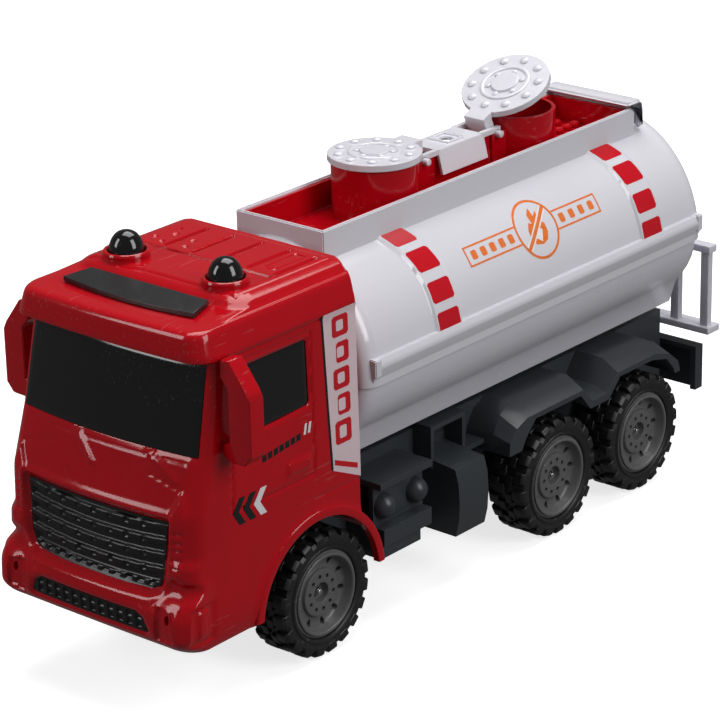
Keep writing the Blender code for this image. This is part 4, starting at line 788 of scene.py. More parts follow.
def roof_relief(x, y):
    """Grooves and dots of the roof, in mm."""
    out = np.zeros(len(x))
    rear = REAR_MM
    along = ramp(y, rear - 28, rear - 27) * (1 - ramp(y, rear - 6.6, rear - 5.8))
    for at in (-19.8, -7.0, 5.6, 18.6, 30.6):
        out += groove(x - at, 2.4, 1.3) * along
    out += groove(y - (rear - 30.2), 2.2, 1.0) * (1 - ramp(np.abs(x), 30, 31))
    for dx, dy in (
        (-28.9, -23), (-24.5, -17.4), (-23.4, -25.4), (-14.7, -19), (-12.7, -25), (-27.5, -12)
    ):
        away = np.hypot(x - dx, y - (rear + dy))
        out += -0.8 * (1 - ramp(away, 0.6, 1.4))
    for at in (-18, -6, 6, 18):
        slot = [
            (at - 5.2, rear - 53.4), (at + 5.2, rear - 53.4), (at + 5.2, rear - 50.6),
            (at - 5.2, rear - 50.6)
        ]
        out += -0.5 * ramp(inside(np.column_stack((x, y)), slot), -0.4, 0.5)
    for side in (-1, 1):
        pad = [
            (side * 22.4, rear - 24), (side * 27, rear - 24), (side * 27, rear - 8),
            (side * 22.4, rear - 8)
        ]
        out += groove(inside(np.column_stack((x, y)), pad), 0.9, 0.45) * (side > 0)
    return out


def slab(top_points, low_points, columns):
    """A closed panel between two grids of points, each given row after row."""
    rows = len(top_points) // columns
    shape = bmesh.new()
    top = [shape.verts.new(point) for point in top_points]
    low = [shape.verts.new(point) for point in low_points]
    for j in range(rows - 1):
        for i in range(columns - 1):
            k = j * columns + i
            shape.faces.new((top[k], top[k + 1], top[k + columns + 1], top[k + columns]))
            shape.faces.new((low[k + columns], low[k + columns + 1], low[k + 1], low[k]))
    rim = list(range(columns)) + [(j + 1) * columns - 1 for j in range(1, rows)]
    rim += [(rows - 1) * columns + i for i in range(columns - 2, -1, -1)]
    rim += [j * columns for j in range(rows - 2, 0, -1)]
    for here, there in zip(rim, rim[1:] + rim[:1]):
        shape.faces.new((top[there], top[here], low[here], low[there]))
    bmesh.ops.recalc_face_normals(shape, faces=shape.faces)
    return shape


ROOF_COLUMNS, ROOF_ROWS = 132, 96
roof_rear = REAR_MM - 2.2
grid_x, grid_y = np.meshgrid(
    np.linspace(-roof_half, roof_half, ROOF_COLUMNS), np.linspace(roof_front, roof_rear, ROOF_ROWS)
)
flat_x, flat_y = grid_x.ravel(), grid_y.ravel()
border = np.minimum(roof_half - np.abs(flat_x), np.minimum(flat_y - roof_front, roof_rear - flat_y))
crown = 0.55 + 0.12 * (1 - (flat_x / roof_half) ** 2)
relief = (crown + roof_relief(flat_x, flat_y)) * ramp(border, 0, 1.6) - 0.25 * (border <= 0.01)
roof = slab(
    [(a * MM, b * MM, ROOF_Z + c * MM) for a, b, c in zip(flat_x, flat_y, relief)],
    [(a * MM, b * MM, ROOF_Z - 2.1 * MM) for a, b in zip(flat_x, flat_y)],
    ROOF_COLUMNS,
)

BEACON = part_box("beacon_left")
BEACON_AT = ((BEACON[0].x + BEACON[1].x) / 2, (BEACON[0].y + BEACON[1].y) / 2)
COLLAR_Z = ROOF_Z - 3.4 * MM
UPRIGHT = Matrix.Rotation(-pi / 2, 3, "Y")  # stands a shape that was turned about X on end
COLLAR = (  # height and radius in mm
    (0, 6.9), (0, 9.6), (2.2, 9.4), (3.2, 8.4), (4.6, 8.1), (5.6, 8.3), (6.3, 8.0), (6.5, 7.4),
    (6.3, 6.9),
)
for side in (-1, 1):
    collar = turned([(x * MM, r * MM) for x, r in COLLAR], 48)
    add_to(roof, moved(collar, side * BEACON_AT[0], BEACON_AT[1], COLLAR_Z, UPRIGHT))
add_to(cab, roof)
MUDGUARD = (  # out from the cab's side and out from the arch, in mm
    (-1.9, 0), (-1.9, 3.2), (-0.1, 3.5), (0.55, 3.2), (0.8, 2.6), (0.8, 0.6), (0.6, 0.1), (0.2, 0),
)
guard = turned([(CAB_HALF + x * MM, ARCH_RADIUS + r * MM) for x, r in MUDGUARD], 128)
below = block((0, ARCH_Y - 50 * MM, -PAST_CAB), (PAST_CAB, ARCH_Y + 50 * MM, CAB_BOTTOM + 1 * MM))
guard = carved(moved(guard, 0, ARCH_Y, AXLE_Z), [below], solver="MANIFOLD")
add_to(cab, both_hands(guard))
piece("cab_body", cab, gloss_red, "truck", ["cab_shell"], smooth=32)

# Windows and grilles -----------------------------------------------------------------------------
# Black polystyrene inserts pushed into the cab from inside. The windows are polished, and the
# two grilles carry moulded ribs and notches in a rougher, satin black of their own.

gloss_black = moulded(
    "gloss_black", (
        0.0045, 0.0045, 0.005
    ), 0.1, depth=0.05, ripple=0.03, grain=0.02, dust=0.5, scuffs=0.05,
    Coat_Weight=0.3, Coat_Roughness=0.05,
)
grille_black = moulded(
    "grille_black", (
        0.006, 0.006, 0.0065
    ), 0.32, depth=0.05, ripple=0.02, grain=0.02, dust=0.5, scuffs=0.05
)


def level_at(height):
    """Setback, narrowing and bow of the cab at heights over its lower edge, in mm."""
    return [np.interp(height, LEVELS[:, 0], LEVELS[:, i]) for i in (1, 2, 3)]


def front_at(x, height):
    setback, narrowing, bow = level_at(height)
    return CAB_FRONT / MM + setback + bow * (x / (CAB_HALF / MM - narrowing)) ** 2


def flank_at(y, height):
    return CAB_HALF / MM - level_at(height)[1]


def insert(outline, surface, relief, sunk, thick, spacing, lift):
    """A panel that follows a surface, with relief on its face, a little past an outline. In mm."""
    corners = np.array(outline, float)
    low, high = corners.min(axis=0) - 0.6, corners.max(axis=0) + 0.6
    count_a, count_b = (int(n) + 2 for n in (high - low) / spacing)
    grid_a, grid_b = np.meshgrid(
        np.linspace(low[0], high[0], count_a), np.linspace(low[1], high[1], count_b)
    )
    a, b = grid_a.ravel(), grid_b.ravel()
    deep = np.full(len(a), sunk + thick)
    front, back = (
        [lift(*point) for point in zip(a, b, surface(a, b), depth)]
        for depth in (sunk - relief(a, b), deep)
    )
    return slab(front, back, count_a)


def in_front(a, b, base, deep):
    """The point that deep behind the cab's front."""
    return (a * MM, (base + deep) * MM, CAB_BOTTOM + b * MM)


def shrunk(outline, by):
    """The outline pulled in towards its middle by about a distance in mm."""
    points = np.array(outline, float)
    middle = (points.min(axis=0) + points.max(axis=0)) / 2
    half = (points.max(axis=0) - points.min(axis=0)) / 2
    return [tuple(p) for p in middle + (points - middle) * (1 - by / half)]


def pane_relief(outline):
    def relief(a, b):
        return 0.3 * ramp(inside(np.column_stack((a, b)), outline), -0.2, 1.8) - 0.3

    return relief


def grille_relief(x, h):
    out = np.zeros(len(x))
    sag = 1.3 * (x / 31) ** 2
    for base in (27.0, 32.2, 37.4, 42.6):
        away = h - (base + sag)
        rib = ramp(away, -1.5, -0.9) * (1 - ramp(away, 1.0, 1.6))
        out = np.maximum(out, 1.35 * rib)
        notch = (1 - ramp(np.abs((x + 3.7) % 7.4 - 3.7), 0.85, 1.25)) * (
            1 - ramp(np.abs(away + 0.1), 0.55, 0.95)
        )
        out -= 0.6 * notch * (np.abs(x) < 28.5) * rib
    low = h - (22.6 + 0.7 * (x / 31) ** 2)
    out = np.maximum(out, 1.1 * ramp(low, -2.2, -1.4) * (1 - ramp(low, 0.6, 1.2)))
    slot = (1 - ramp(np.abs((x + 2.6) % 5.2 - 2.6), 1.3, 1.7)) * (
        1 - ramp(np.abs(low + 0.3), 0.5, 0.9)
    )
    out -= 0.75 * slot * (np.abs(x) < 27)
    frame_edge = 1 - ramp(inside(np.column_stack((x, h)), GRILLE), 0.9, 1.7)
    return np.maximum(out, 1.15 * frame_edge)


def lower_grille_relief(x, h):
    ribs = 1 - ramp(np.abs((x + 2.1) % 4.2 - 2.1), 0.75, 1.2)
    middle = 1 - ramp(np.abs(h - 10), 0.5, 0.9)
    edge = 1 - ramp(inside(np.column_stack((x, h)), LOWER_GRILLE), 0.5, 1.1)
    return np.maximum(0.9 * np.maximum(ribs, 0.5 * middle), 0.9 * edge)


def fitted(outline, relief, sunk, spacing):
    """A panel of the cab's front, cut to its opening."""
    panel = insert(outline, front_at, relief, sunk, 2.6, spacing, in_front)
    block_out = flat_prism(scaled_outline(shrunk(outline, 0.12)), *nose, "Y")
    return carved(panel, [block_out], "INTERSECT", "MANIFOLD")


for name, node, panel, material, smooth in (
    (
        "windscreen_pane", "windscreen", fitted(WINDSCREEN, pane_relief(WINDSCREEN), 0.6, 0.8),
        gloss_black, 40
    ),
    ("grille_upper", "front_grille", fitted(GRILLE, grille_relief, 2.0, 0.33), grille_black, 80),
    (
        "grille_lower", "lower_grille", fitted(LOWER_GRILLE, lower_grille_relief, 1.7, 0.3),
        grille_black, 50
    ),
):
    piece(name, panel, material, "truck", [node], smooth)
for name, sign in (("left", 1), ("right", -1)):
    pane = insert(
        SIDE_WINDOW, flank_at, pane_relief(SIDE_WINDOW), 0.6, 2.2, 0.8,
        lambda a, b, base, deep, s=sign: (s * (base - deep) * MM, a * MM, CAB_BOTTOM + b * MM),
    )
    cut = flat_prism(scaled_outline(shrunk(SIDE_WINDOW, 0.12)), -PAST_CAB, PAST_CAB)
    pane = carved(pane, [cut], "INTERSECT", "MANIFOLD")
    piece(f"side_pane_{name}", pane, gloss_black, "truck", [f"side_window_{name}"])

# Roof lights and mirrors -------------------------------------------------------------------------
# A satin black light bar and two glossy beacon domes are pushed into the roof, and each mirror is a
# red housing on a thin arm.

satin_black = moulded(
    "satin_black", (0.011, 0.011, 0.012), 0.3, depth=0.05, ripple=0.04, grain=0.2, dust=1.3,
)
piece(
    "light_bar", eased(shape_of("roof_light_bar"), 0.75 * MM, 3), satin_black, "truck",
    ["roof_light_bar"],
)
for name in ("left", "right"):
    low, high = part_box(f"beacon_{name}")
    tall, wide = high.z - low.z, (high.x - low.x) / 2
    dome = [
        (0.0, CENTRE), (0.0, wide - 0.2 * MM), (0.25 * tall, wide), (0.34 * tall, wide - 0.05 * MM)
    ]
    for a in np.linspace(0, 86, 16):
        rise = sin(radians(a))
        dome.append((tall * (0.36 + 0.64 * rise), wide * cos(radians(a)) ** 0.82 - 0.05 * MM))
    dome.append((tall, CENTRE))
    shape = moved(turned(dome, 64), (low.x + high.x) / 2, (low.y + high.y) / 2, low.z, UPRIGHT)
    piece(
        f"beacon_dome_{name}", shape, gloss_black, "truck", [f"beacon_{name}"], 60
    )
    shape = eased(shape_of(f"mirror_{name}"), 0.9 * MM, 3)
    piece(
        f"mirror_housing_{name}", shape, gloss_red, "truck", [f"mirror_{name}"], 60
    )

# Tank shells -------------------------------------------------------------------------------------
# The tank is two white mouldings screwed together along a flanged seam. The upper shell has two
# raised bands for the painted squares and a coaming round the hatches; the lower one is milkier.

white = moulded(
    "gloss_white", (0.68, 0.67, 0.72), 0.16, depth=0.012, ripple=0.05, grain=0.03, dust=0.35,
    scuffs=0.06,
    Coat_Weight=0.3, Coat_Roughness=0.07,
)
milky = moulded(
    "milky_white", (0.66, 0.65, 0.71), 0.22, depth=0.02, ripple=0.06, dust=0.3, scuffs=0.08,
    Subsurface_Weight=0.25, Subsurface_Radius=(0.004, 0.004, 0.005), Subsurface_Scale=0.6,
)
UPPER_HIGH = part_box("tank_upper_shell")[1]
TANK_HALF, TANK_RISE = 42.7, 46.2  # mm from its middle and over its seam
TANK_TURN = 44.0  # mm of skin to a radian
SEAM_Z = UPPER_HIGH.z / MM - 51.6
TANK_ENDS = (-58.0, 146.5)
BANDS = ((-19.6, -4.6), (104.4, 119.4))
BAND_PROUD = 0.8


def on_tank(around, along, out):
    """The point that many mm round from the seam, along Y and out from the shell's skin."""
    angle = around / TANK_TURN
    x, z = (TANK_HALF + out) * cos(angle), (TANK_RISE + out) * sin(angle)
    return Vector((x * MM, along * MM, (SEAM_Z + z) * MM))


def lean(degrees_up):
    """How far the painted bands run forward near the top."""
    return -6.0 * max(0.0, (degrees_up - 30) / 33) ** 2


def tank_loft(inset, ends, steps, low_angle=-0.02):
    """Half a tank with rounded ends, closed below its seam."""
    first, last = ends
    stations = [
        (0, 5.2), (0.15, 4.2), (0.5, 3.2), (1, 2.4), (1.8, 1.6), (3, 0.85), (4.6, 0.3), (6.6, 0)
    ]
    ys = [(first + o, s) for o, s in stations]
    ys += [(y, 0) for y in np.linspace(first + 7, last - 7, 230)]
    ys += [(last - o, s) for o, s in reversed(stations)]
    rings = []
    for y, less in ys:
        ring = []
        for a in np.linspace(low_angle, pi - low_angle, steps):
            degrees_up = np.degrees(min(a, pi - a))
            out = 0
            for low, high in BANDS:
                from_low = y - low - lean(degrees_up)
                inside_band = ramp(from_low, 0, 0.9) * (
                    1 - ramp(from_low, high - low - 0.9, high - low)
                )
                out += BAND_PROUD * inside_band * ramp(degrees_up, 5, 7.5)
            proud = (out if inset == 0 else 0) - less - inset
            x, z = (TANK_HALF + proud) * cos(a), (TANK_RISE + proud) * sin(a)
            ring.append((x * MM, y * MM, (SEAM_Z + z) * MM))
        rings.append(ring)
    return lofted(rings)


def tray_space(low_z):
    """The room for the hatch tray, with a gap round it."""
    low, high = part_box("hatch_tray")
    gap = 0.25 * MM
    return block(
        (low.x - gap, low.y - gap, low_z), (high.x + gap, high.y + gap, UPPER_HIGH.z + 5 * MM)
    )


def walls(low, high, wall, ease=0.45 * MM):
    """An upright rectangular frame with rounded edges."""
    past = 10 * MM
    inner_low = (low[0] + wall, low[1] + wall, low[2] - past)
    inner = block(inner_low, (high[0] - wall, high[1] - wall, high[2] + past))
    return eased(carved(block(low, high), [inner]), ease)


hollow = tank_loft(2.0, (TANK_ENDS[0] + 2.2, TANK_ENDS[1] - 2.2), 64, -0.1)
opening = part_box("hatch_tray")[0].z - 0.4 * MM
upper = carved(tank_loft(0, TANK_ENDS, 128), [hollow, tray_space(opening)], solver="MANIFOLD")
COAMING_HALF, COAMING_Y = 20.3 * MM, (-54 * MM, 130.3 * MM)
coaming_low = (-COAMING_HALF, COAMING_Y[0], (SEAM_Z + 37.5) * MM)
coaming = walls(coaming_low, (COAMING_HALF, COAMING_Y[1], UPPER_HIGH.z), 1.5 * MM)
flange_outline = [  # X, and height over the seam, in mm
    (TANK_HALF - 1.7, 0.15), (TANK_HALF - 1.0, 0.15), (TANK_HALF + 0.2, 2.4), (
        TANK_HALF + 1.1, 5.4
    ),
    (TANK_HALF + 1.25, 6.2), (TANK_HALF + 0.9, 7.6), (TANK_HALF - 0.1, 9.5), (TANK_HALF - 3.4, 9.5),
]
flange = flat_prism(
    [(x * MM, (SEAM_Z + z) * MM) for x, z in flange_outline],
    (TANK_ENDS[0] + 3) * MM, (TANK_ENDS[1] - 3) * MM, "Y",
)
for end in (TANK_ENDS[0] + 4.6, TANK_ENDS[1] - 4.6):
    boss_low = ((TANK_HALF - 3) * MM, (end - 1.7) * MM, (SEAM_Z + 3.0) * MM)
    boss_high = ((TANK_HALF + 1.25) * MM, (end + 1.7) * MM, (SEAM_Z + 9.4) * MM)
    add_to(flange, block(boss_low, boss_high))
piece(
    "tank_upper", add_to(upper, coaming, both_hands(eased(flange, 0.35 * MM))), white, "truck",
    ["tank_upper_shell"], 35,
)
piece(
    "tank_lower", eased(shape_of("tank_lower_shell"), 0.5 * MM), milky, "truck",
    ["tank_lower_shell"], 50,
)

# Hatches -----------------------------------------------------------------------------------------
# A red tray with two filling necks sits in the coaming. Two white lids swing on their own moulded
# pins, which one bracket, screwed to the tray between them, holds down.

tray = eased(shape_of("hatch_tray"), 0.4 * MM)
TRAY_LOW, TRAY_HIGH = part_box("hatch_tray")
FLOOR_Z = TRAY_LOW.z + 1.6 * MM


def upright_knob(profile, steps):
    """A round knob from heights and radii in mm, standing on the origin."""
    return moved(turned([(x * MM, r * MM) for x, r in profile], steps), turn=UPRIGHT)


knob = upright_knob([(0, 0.01), (0, 2.2), (1.2, 2.1), (1.9, 1.5), (2.1, 0.01)], 14)
for start_y, count in ((TRAY_LOW.y + 6.5 * MM, 3), (TRAY_HIGH.y - 22.5 * MM, 4)):
    for row_x, shift in ((-11 * MM, 0), (-4 * MM, 2.4 * MM), (4 * MM, 0), (11 * MM, 2.4 * MM)):
        start = (row_x, start_y + shift, FLOOR_Z)
        add_to(
            tray, repeated(knob.copy(), count, gloss_red, step=(0.0, 5.2 * MM, 0.0), start=start)
        )
knob.free()
piece("tray_and_necks", tray, gloss_red, "truck", ["hatch_tray"], 35)

PIN_Z = 148.896 * MM
HATCH_Y = 39.15 * MM
stud = upright_knob([(0, 0.01), (0, 1.75), (0.55, 1.7), (0.95, 1.3), (1.1, 0.7), (1.12, 0.01)], 18)
small = upright_knob([(0, 0.01), (0, 1.2), (0.5, 1.1), (0.75, 0.6), (0.78, 0.01)], 14)
ring = upright_knob([(0, 8.1), (0, 9.9), (0.5, 9.7), (0.7, 9.3), (0.7, 8.7), (0.5, 8.3)], 64)
LID_CENTRE, LID_TOP = 19.2 * MM, 7.4 * MM  # from the pin, along the lid and over it
PIN_APART = 21.5 * MM  # from the middle between the hatches to each pin
REAR_OPENED = radians(25)
for name, end, opened in (("front", -1, 0), ("rear", 1, REAR_OPENED)):
    rim_studs = repeated(moved(stud.copy(), 0, 13.4 * MM, 0), 10, white, about_z=2 * pi / 10)
    inner_studs = repeated(moved(small.copy(), 0, 6.6 * MM, 0), 6, white, about_z=2 * pi / 6)
    detail = add_to(rim_studs, inner_studs, ring.copy())
    moved(detail, 0, LID_CENTRE, LID_TOP - 0.05 * MM)
    to_place = Matrix.Translation((0, HATCH_Y + end * PIN_APART, PIN_Z))
    to_place = to_place @ Matrix.Rotation(
        0 if end > 0 else pi, 4, "Z"
    ) @ Matrix.Rotation(opened, 4, "X")
    bmesh.ops.transform(detail, matrix=to_place, verts=detail.verts)
    lid = add_to(eased(shape_of(f"hatch_lid_{name}"), 0.55 * MM, 3), detail)
    piece(f"lid_{name}", lid, white, f"{name}_lid", [f"hatch_lid_{name}"], 45)
for used in (stud, small, ring):
    used.free()

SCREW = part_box("bracket_screw")
SCREW_Y = (SCREW[0].y + SCREW[1].y) / 2
BRACKET_TOP, FRAME_HALF = 151.0 * MM, 4.8 * MM
frame_low = (-FRAME_HALF, SCREW_Y - FRAME_HALF, BRACKET_TOP - 0.5 * MM)
frame_high = (FRAME_HALF, SCREW_Y + FRAME_HALF, BRACKET_TOP + 0.7 * MM)
frame_round = walls(frame_low, frame_high, 1.0 * MM, 0.25 * MM)
bracket = add_to(eased(shape_of("hinge_bracket"), 0.5 * MM, 3), frame_round)
piece("bracket", bracket, white, "truck", ["hinge_bracket"], 45)

# Rear hood and guard -----------------------------------------------------------------------------
# A moulded white hood is pressed over the coaming's rear wall, and a milky white guard frame
# stands on the chassis behind the tank.

for name, node, edge_width, material in (
    ("rear_hood", "tank_hood", 1.0 * MM, white),
    ("guard_frame", "rear_guard", 0.6 * MM, milky),
):
    piece(
        name, eased(shape_of(node), edge_width, 3), material, "truck", [node], 60
    )

# Friction motor and screws -----------------------------------------------------------------------
# A slate housing in two halves holds natural nylon gears and a steel flywheel. Plated screws with
# cross recesses hold the mouldings together.

natural = moulded("natural_nylon", (0.58, 0.56, 0.48), 0.36, ripple=0.04, dust=0.4)
PLAIN_PARTS = (  # a later row wins, so the flywheel's pinion is nylon
    ("motor_housing", slate), ("gear", natural), ("idler_shaft", steel),
    ("flywheel", steel), ("pinion", natural), ("screw", steel),
)
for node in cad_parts.values():
    for part_name, material in PLAIN_PARTS:
        if part_name in node.name:
            for holder in node.material_slots:
                holder.material = material

# Printed marks -----------------------------------------------------------------------------------
# Pad-printed and foil marks: red squares and an orange warning pictogram on the tank, a pale panel
# with red blocks, a bar with slashes and three chevrons on the cab. Each is one thin coat of ink.


def ink(name, color, rough):
    made = Finish(name, IOR=1.5, Coat_Weight=0.25, Coat_Roughness=0.08)
    place = made.node("TexCoord", output="Object")
    patches = made.node("TexNoise", sockets={"Vector": place, "Scale": 320, "Detail": 3})
    made.feed("Base Color", made.blend(patches, tuple(c * 0.9 for c in color), color))
    made.feed("Roughness", rough + patches * 0.06)
    made.feed(
        "Normal",
        made.node("Bump", sockets={"Strength": 0.2, "Distance": 0.1 * MM, "Height": patches})
    )
    return made.material


red_ink = ink("red_ink", (0.58, 0.002, 0.012), 0.2)
orange_ink = ink("orange_ink", (0.82, 0.19, 0.035), 0.25)
black_ink = ink("black_ink", (0.006, 0.006, 0.007), 0.2)
pale_foil = ink("pale_foil", (0.76, 0.6, 0.64), 0.22)
white_ink = ink("white_ink", (0.8, 0.8, 0.82), 0.25)
INK, INK_ROOT = 0.05, -0.25  # mm out of the surface and into it


def printed(outlines, where, step=2.0):
    """Flat outlines in mm laid on a surface as a thin coat, by a function of (a, b, out)."""
    coat = bmesh.new()
    for outline in outlines:
        flat = flat_prism(outline, INK_ROOT, INK, "Z")
        spread = np.array(outline)
        for axis in (0, 1):
            normal = (1, 0, 0) if axis == 0 else (0, 1, 0)
            for at in np.arange(spread[:, axis].min() + step, spread[:, axis].max() - 0.1, step):
                spot = tuple(at * n for n in normal)
                geometry = flat.verts[:] + flat.edges[:] + flat.faces[:]
                bmesh.ops.bisect_plane(flat, geom=geometry, plane_co=spot, plane_no=normal)
        for vert in flat.verts:
            vert.co = Vector(where(*vert.co))
        bmesh.ops.recalc_face_normals(flat, faces=flat.faces)
        add_to(coat, flat)
    return coat


def box_outline(a0, a1, b0, b1, cut=0.0):
    """A rectangle, whose corners may be cut off."""
    if not cut:
        return [(a0, b0), (a1, b0), (a1, b1), (a0, b1)]
    lower = [(a0 + cut, b0), (a1 - cut, b0), (a1, b0 + cut), (a1, b1 - cut)]
    return lower + [(a1 - cut, b1), (a0 + cut, b1), (a0, b1 - cut), (a0, b0 + cut)]


def band_outline(a, b, outer, inner, start, end, count=20):
    """Part of a flat ring, between two angles in degrees."""
    turns = np.radians(np.linspace(start, end, count))
    far = [(a + outer * cos(t), b + outer * sin(t)) for t in turns]
    return far + [(a + inner * cos(t), b + inner * sin(t)) for t in reversed(turns)]


def bar_outline(a0, b0, a1, b1, half):
    """A slanting bar between two points."""
    run = Vector((a1 - a0, b1 - b0)).normalized()
    side = Vector((-run.y, run.x)) * half
    start = [(a0 + side.x, b0 + side.y), (a0 - side.x, b0 - side.y)]
    return start + [(a1 - side.x, b1 - side.y), (a1 + side.x, b1 + side.y)]


def arc(degrees_up):
    """Degrees up from the seam, made mm of skin."""
    return radians(degrees_up) * TANK_TURN


SQUARES = ((53.4, 62.6), (38.2, 49.4), (23.2, 33.0), (9.8, 19.0))  # degrees up from the seam
SQUARES_Y = ((-18.0, -6.2), (106.0, 117.8))
FLAME = (  # round the skin and along it, from the circle's middle
    (-7.4, 0.4), (-6.6, -3.6), (-3.6, -5.6), (0.2, -5.2), (3.2, -3.2), (2.2, -1.4), (6.4, -1.8),
    (9.4, 1.0), (5.2, 1.4), (7.2, 4.0), (2.6, 3.6), (0.6, 5.6), (-3.2, 5.4), (-6.2, 3.6),
)
FLAME_CORE = ((-5.4, 0.2), (-3.2, -2.8), (0.6, -0.8), (-1.2, 2.6))


def tank_side(sign, proud, leans=False):
    """The tank's left or right skin, for printing. A mark may lean forward with its band."""

    def where(around, along, out):
        shift = lean(np.degrees(around / TANK_TURN)) if leans else 0
        point = on_tank(around, along + shift, out + proud)
        return (sign * point.x, point.y, point.z)

    return where


for name, sign in (("left", 1), ("right", -1)):
    squares = []
    for along in SQUARES_Y:
        squares += [box_outline(arc(low), arc(high), *along, 0.8) for low, high in SQUARES]
    piece(
        f"red_squares_{name}", printed(squares, tank_side(sign, BAND_PROUD, True)), red_ink,
        "truck", smooth=30
    )
    mid_y, mid_up = 49.2, arc(36.7)
    low_edge, high_edge, line = arc(31.6), arc(41.6), 0.7
    warning = [band_outline(mid_up, mid_y, 11.6, 10.6, s, s + 92) for s in (0, 90, 180, 270)]
    for start, end in ((7.8, 38.2), (60.2, 86.8)):
        warning += [
            box_outline(low_edge, low_edge + line, start, end),
            box_outline(high_edge - line, high_edge, start, end),
        ]
        outer = start if start < mid_y else end - line
        warning.append(box_outline(low_edge, high_edge, outer, outer + line))
        blocks_at = np.linspace(start + 4.4, end - 4.4, 5 if start < mid_y else 4)
        for at in blocks_at:
            warning.append(box_outline(low_edge + 2.1, high_edge - 2.1, at - 1.5, at + 1.5, 0.5))
    warning.append([(mid_up + a * 0.86, mid_y + b * 0.92) for a, b in FLAME])
    piece(
        f"warning_print_{name}", printed(warning, tank_side(sign, 0.0), 1.6), orange_ink, "truck",
        smooth=30
    )
    cores = [[(mid_up + a, mid_y + b) for a, b in FLAME_CORE]]
    cores.append(bar_outline(mid_up - 6.4, mid_y - 8.2, mid_up + 6.4, mid_y + 8.2, 1.4))
    piece(
        f"flame_core_{name}", printed(cores, tank_side(sign, 0.04), 1.6), white_ink, "truck",
        smooth=30
    )
    slash = [bar_outline(mid_up - 6.7, mid_y - 8.6, mid_up + 6.7, mid_y + 8.6, 0.75)]
    piece(
        f"slash_{name}", printed(slash, tank_side(sign, 0.07), 1.6), orange_ink, "truck", smooth=30
    )


def cab_flank(sign, proud):
    """The cab's left or right side, for printing."""

    def where(along, height, out):
        reach = flank_at(along, height) + out + proud
        return (sign * reach * MM, along * MM, CAB_BOTTOM + height * MM)

    return where


for name, sign in (("left", 1), ("right", -1)):
    rear = REAR_MM
    panel = [[(rear - 15.4, 43.4), (rear - 1.1, 36.8), (rear - 1.1, 100.8), (rear - 18.2, 100.8)]]
    piece(f"panel_foil_{name}", printed(panel, cab_flank(sign, 0.0)), pale_foil, "truck", smooth=30)
    edge = [[(rear - 16.4, 43.9), (rear - 15.3, 43.4), (rear - 18.1, 100.8), (rear - 19.2, 100.8)]]
    piece(f"panel_edge_{name}", printed(edge, cab_flank(sign, 0.02)), black_ink, "truck", smooth=30)
    stripes = []
    for low, high, far in (
        (52, 60.5, 0), (62.5, 70, 3), (72, 79.5, 0), (81.5, 89, 3), (91, 98.6, 0)
    ):
        stripes.append(box_outline(rear - 13.6 + far * 0.6, rear - 5.2, low, high, 0.9))
    stripes.append(
        [(rear - 14.6, 45.2), (rear - 2.6, 40.2), (rear - 2.6, 42.2), (rear - 14.6, 47.2)]
    )
    piece(
        f"panel_blocks_{name}", printed(stripes, cab_flank(sign, 0.03)), red_ink, "truck", smooth=30
    )
    holes = []
    for low, high in ((54, 58.5), (64, 68.4), (74, 77.8), (83.4, 87.2), (93, 96.8)):
        holes.append(box_outline(rear - 11.4, rear - 7.8, low, high, 0.5))
    piece(
        f"panel_holes_{name}", printed(holes, cab_flank(sign, 0.05)), pale_foil, "truck", smooth=30
    )
    dark, pale = [], []
    for i in range(7):
        at = rear - 51 + i * 2.9
        low = 58.3 + i * 0.3
        dark.append([(at, low), (at + 2.2, low + 0.2), (at + 2.2, low + 2.6), (at, low + 2.4)])
    for at in (rear - 29.9, rear - 27.7):
        pale.append([(at, 61.4), (at + 1.1, 61.4), (at + 2.0, 65.2), (at + 0.9, 65.2)])
    for i, target in enumerate((dark, dark, pale)):
        at = rear - 66.7 + i * 5.3
        target.append([(at, 45.0), (at + 3.5, 49.8), (at + 6.6, 49.8), (at + 3.1, 45.0)])
        target.append([(at, 45.0), (at + 3.1, 45.0), (at + 6.3, 40.2), (at + 3.2, 40.2)])
    piece(
        f"cab_dark_marks_{name}", printed(dark, cab_flank(sign, 0.0)), black_ink, "truck", smooth=30
    )
    piece(
        f"cab_pale_marks_{name}", printed(pale, cab_flank(sign, 0.0)), white_ink, "truck", smooth=30
    )

# Floor, lights and camera ------------------------------------------------------------------------
# A pale seamless floor that glows a little, three soft boxes and a dim pale surround, so that the
# plastic shows broad, soft highlights.


def plain(name, color, rough):
    """A matt finish that gives off a little light of its own."""
    made = Finish(name, Roughness=rough, Emission_Color=(1, 1, 1, 1), Emission_Strength=0.75)
    place = made.node("TexCoord", output="Object")
    drift = made.node("TexNoise", sockets={"Vector": place, "Scale": 3, "Detail": 2})
    made.feed("Base Color", made.blend(drift, tuple(c * 0.99 for c in color), color))
    return made.material


floor_shape = bmesh.new()
bmesh.ops.create_grid(floor_shape, x_segments=2, y_segments=2, size=3)
floor_mesh = bpy.data.meshes.new("floor")
floor_shape.to_mesh(floor_mesh)
floor_shape.free()
floor = bpy.data.objects.new("floor", floor_mesh)
floor_mesh.materials.append(plain("pale_floor", (0.6, 0.6, 0.6), 0.6))
floor.visible_diffuse = floor.visible_glossy = False
bpy.context.scene.collection.objects.link(floor)


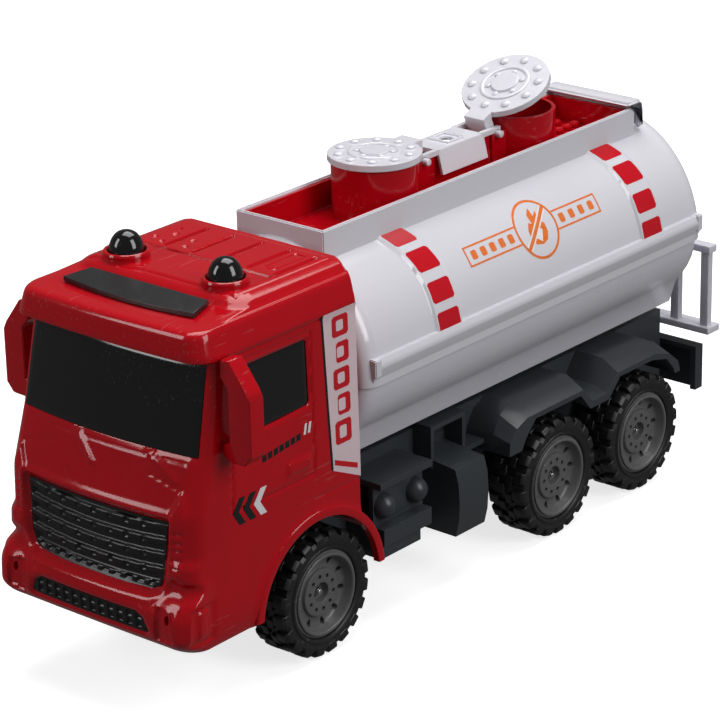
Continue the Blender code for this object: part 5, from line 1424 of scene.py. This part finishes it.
def soft_box(name, place, target, width, height, power):
    """A rectangular lamp in watts, turned to face a point."""
    light = bpy.data.lights.new(name, "AREA")
    light.shape, light.size, light.size_y, light.energy = "RECTANGLE", width, height, power
    holder = bpy.data.objects.new(name, light)
    bpy.context.scene.collection.objects.link(holder)
    holder.location = place
    holder.rotation_euler = (Vector(target) - Vector(place)).to_track_quat("-Z", "Y").to_euler()


soft_box("box_left", (1.15, 0.1, 0.75), (0, 0, 0.07), 0.55, 0.9, 8.5)
soft_box("box_right", (-0.75, -1.15, 0.8), (0, 0, 0.07), 0.45, 0.9, 7)
soft_box("box_top", (-0.1, 0.35, 1.3), (0, 0, 0.1), 1.1, 1.1, 16.5)
world = bpy.data.worlds.new("pale_surround")
world.use_nodes = True
world.node_tree.nodes["Background"].inputs["Color"].default_value = (1.0, 1.0, 1.0, 1)
world.node_tree.nodes["Background"].inputs["Strength"].default_value = 0.13
bpy.context.scene.world = world
bpy.context.scene.view_settings.view_transform = "Standard"

VIEW_TURN, VIEW_TILT, VIEW_ROLL = radians(40.055), radians(21.929), radians(-1.057)
VIEW_DISTANCE = 1.169
VIEW_CENTRE = Vector((0, 0.003, 0.06004))
back = Vector((sin(VIEW_TURN) * cos(VIEW_TILT), -cos(VIEW_TURN) * cos(VIEW_TILT), sin(VIEW_TILT)))
level_right = Vector((cos(VIEW_TURN), sin(VIEW_TURN), 0))
upright = back.cross(level_right)
right = level_right * cos(VIEW_ROLL) + upright * sin(VIEW_ROLL)
up = upright * cos(VIEW_ROLL) - level_right * sin(VIEW_ROLL)
camera_data = bpy.data.cameras.new("camera")
camera_data.sensor_width = 36
camera_data.lens = 157.66
camera_data.shift_x = -0.038
camera_data.shift_y = 0.051
camera_data.clip_start, camera_data.clip_end = 0.05, 20
camera = bpy.data.objects.new("camera", camera_data)
bpy.context.scene.collection.objects.link(camera)
turn = Matrix((right, up, back)).transposed().to_4x4()
camera.matrix_world = Matrix.Translation(VIEW_CENTRE + back * VIEW_DISTANCE) @ turn
bpy.context.scene.camera = camera

bpy.context.view_layer.update()
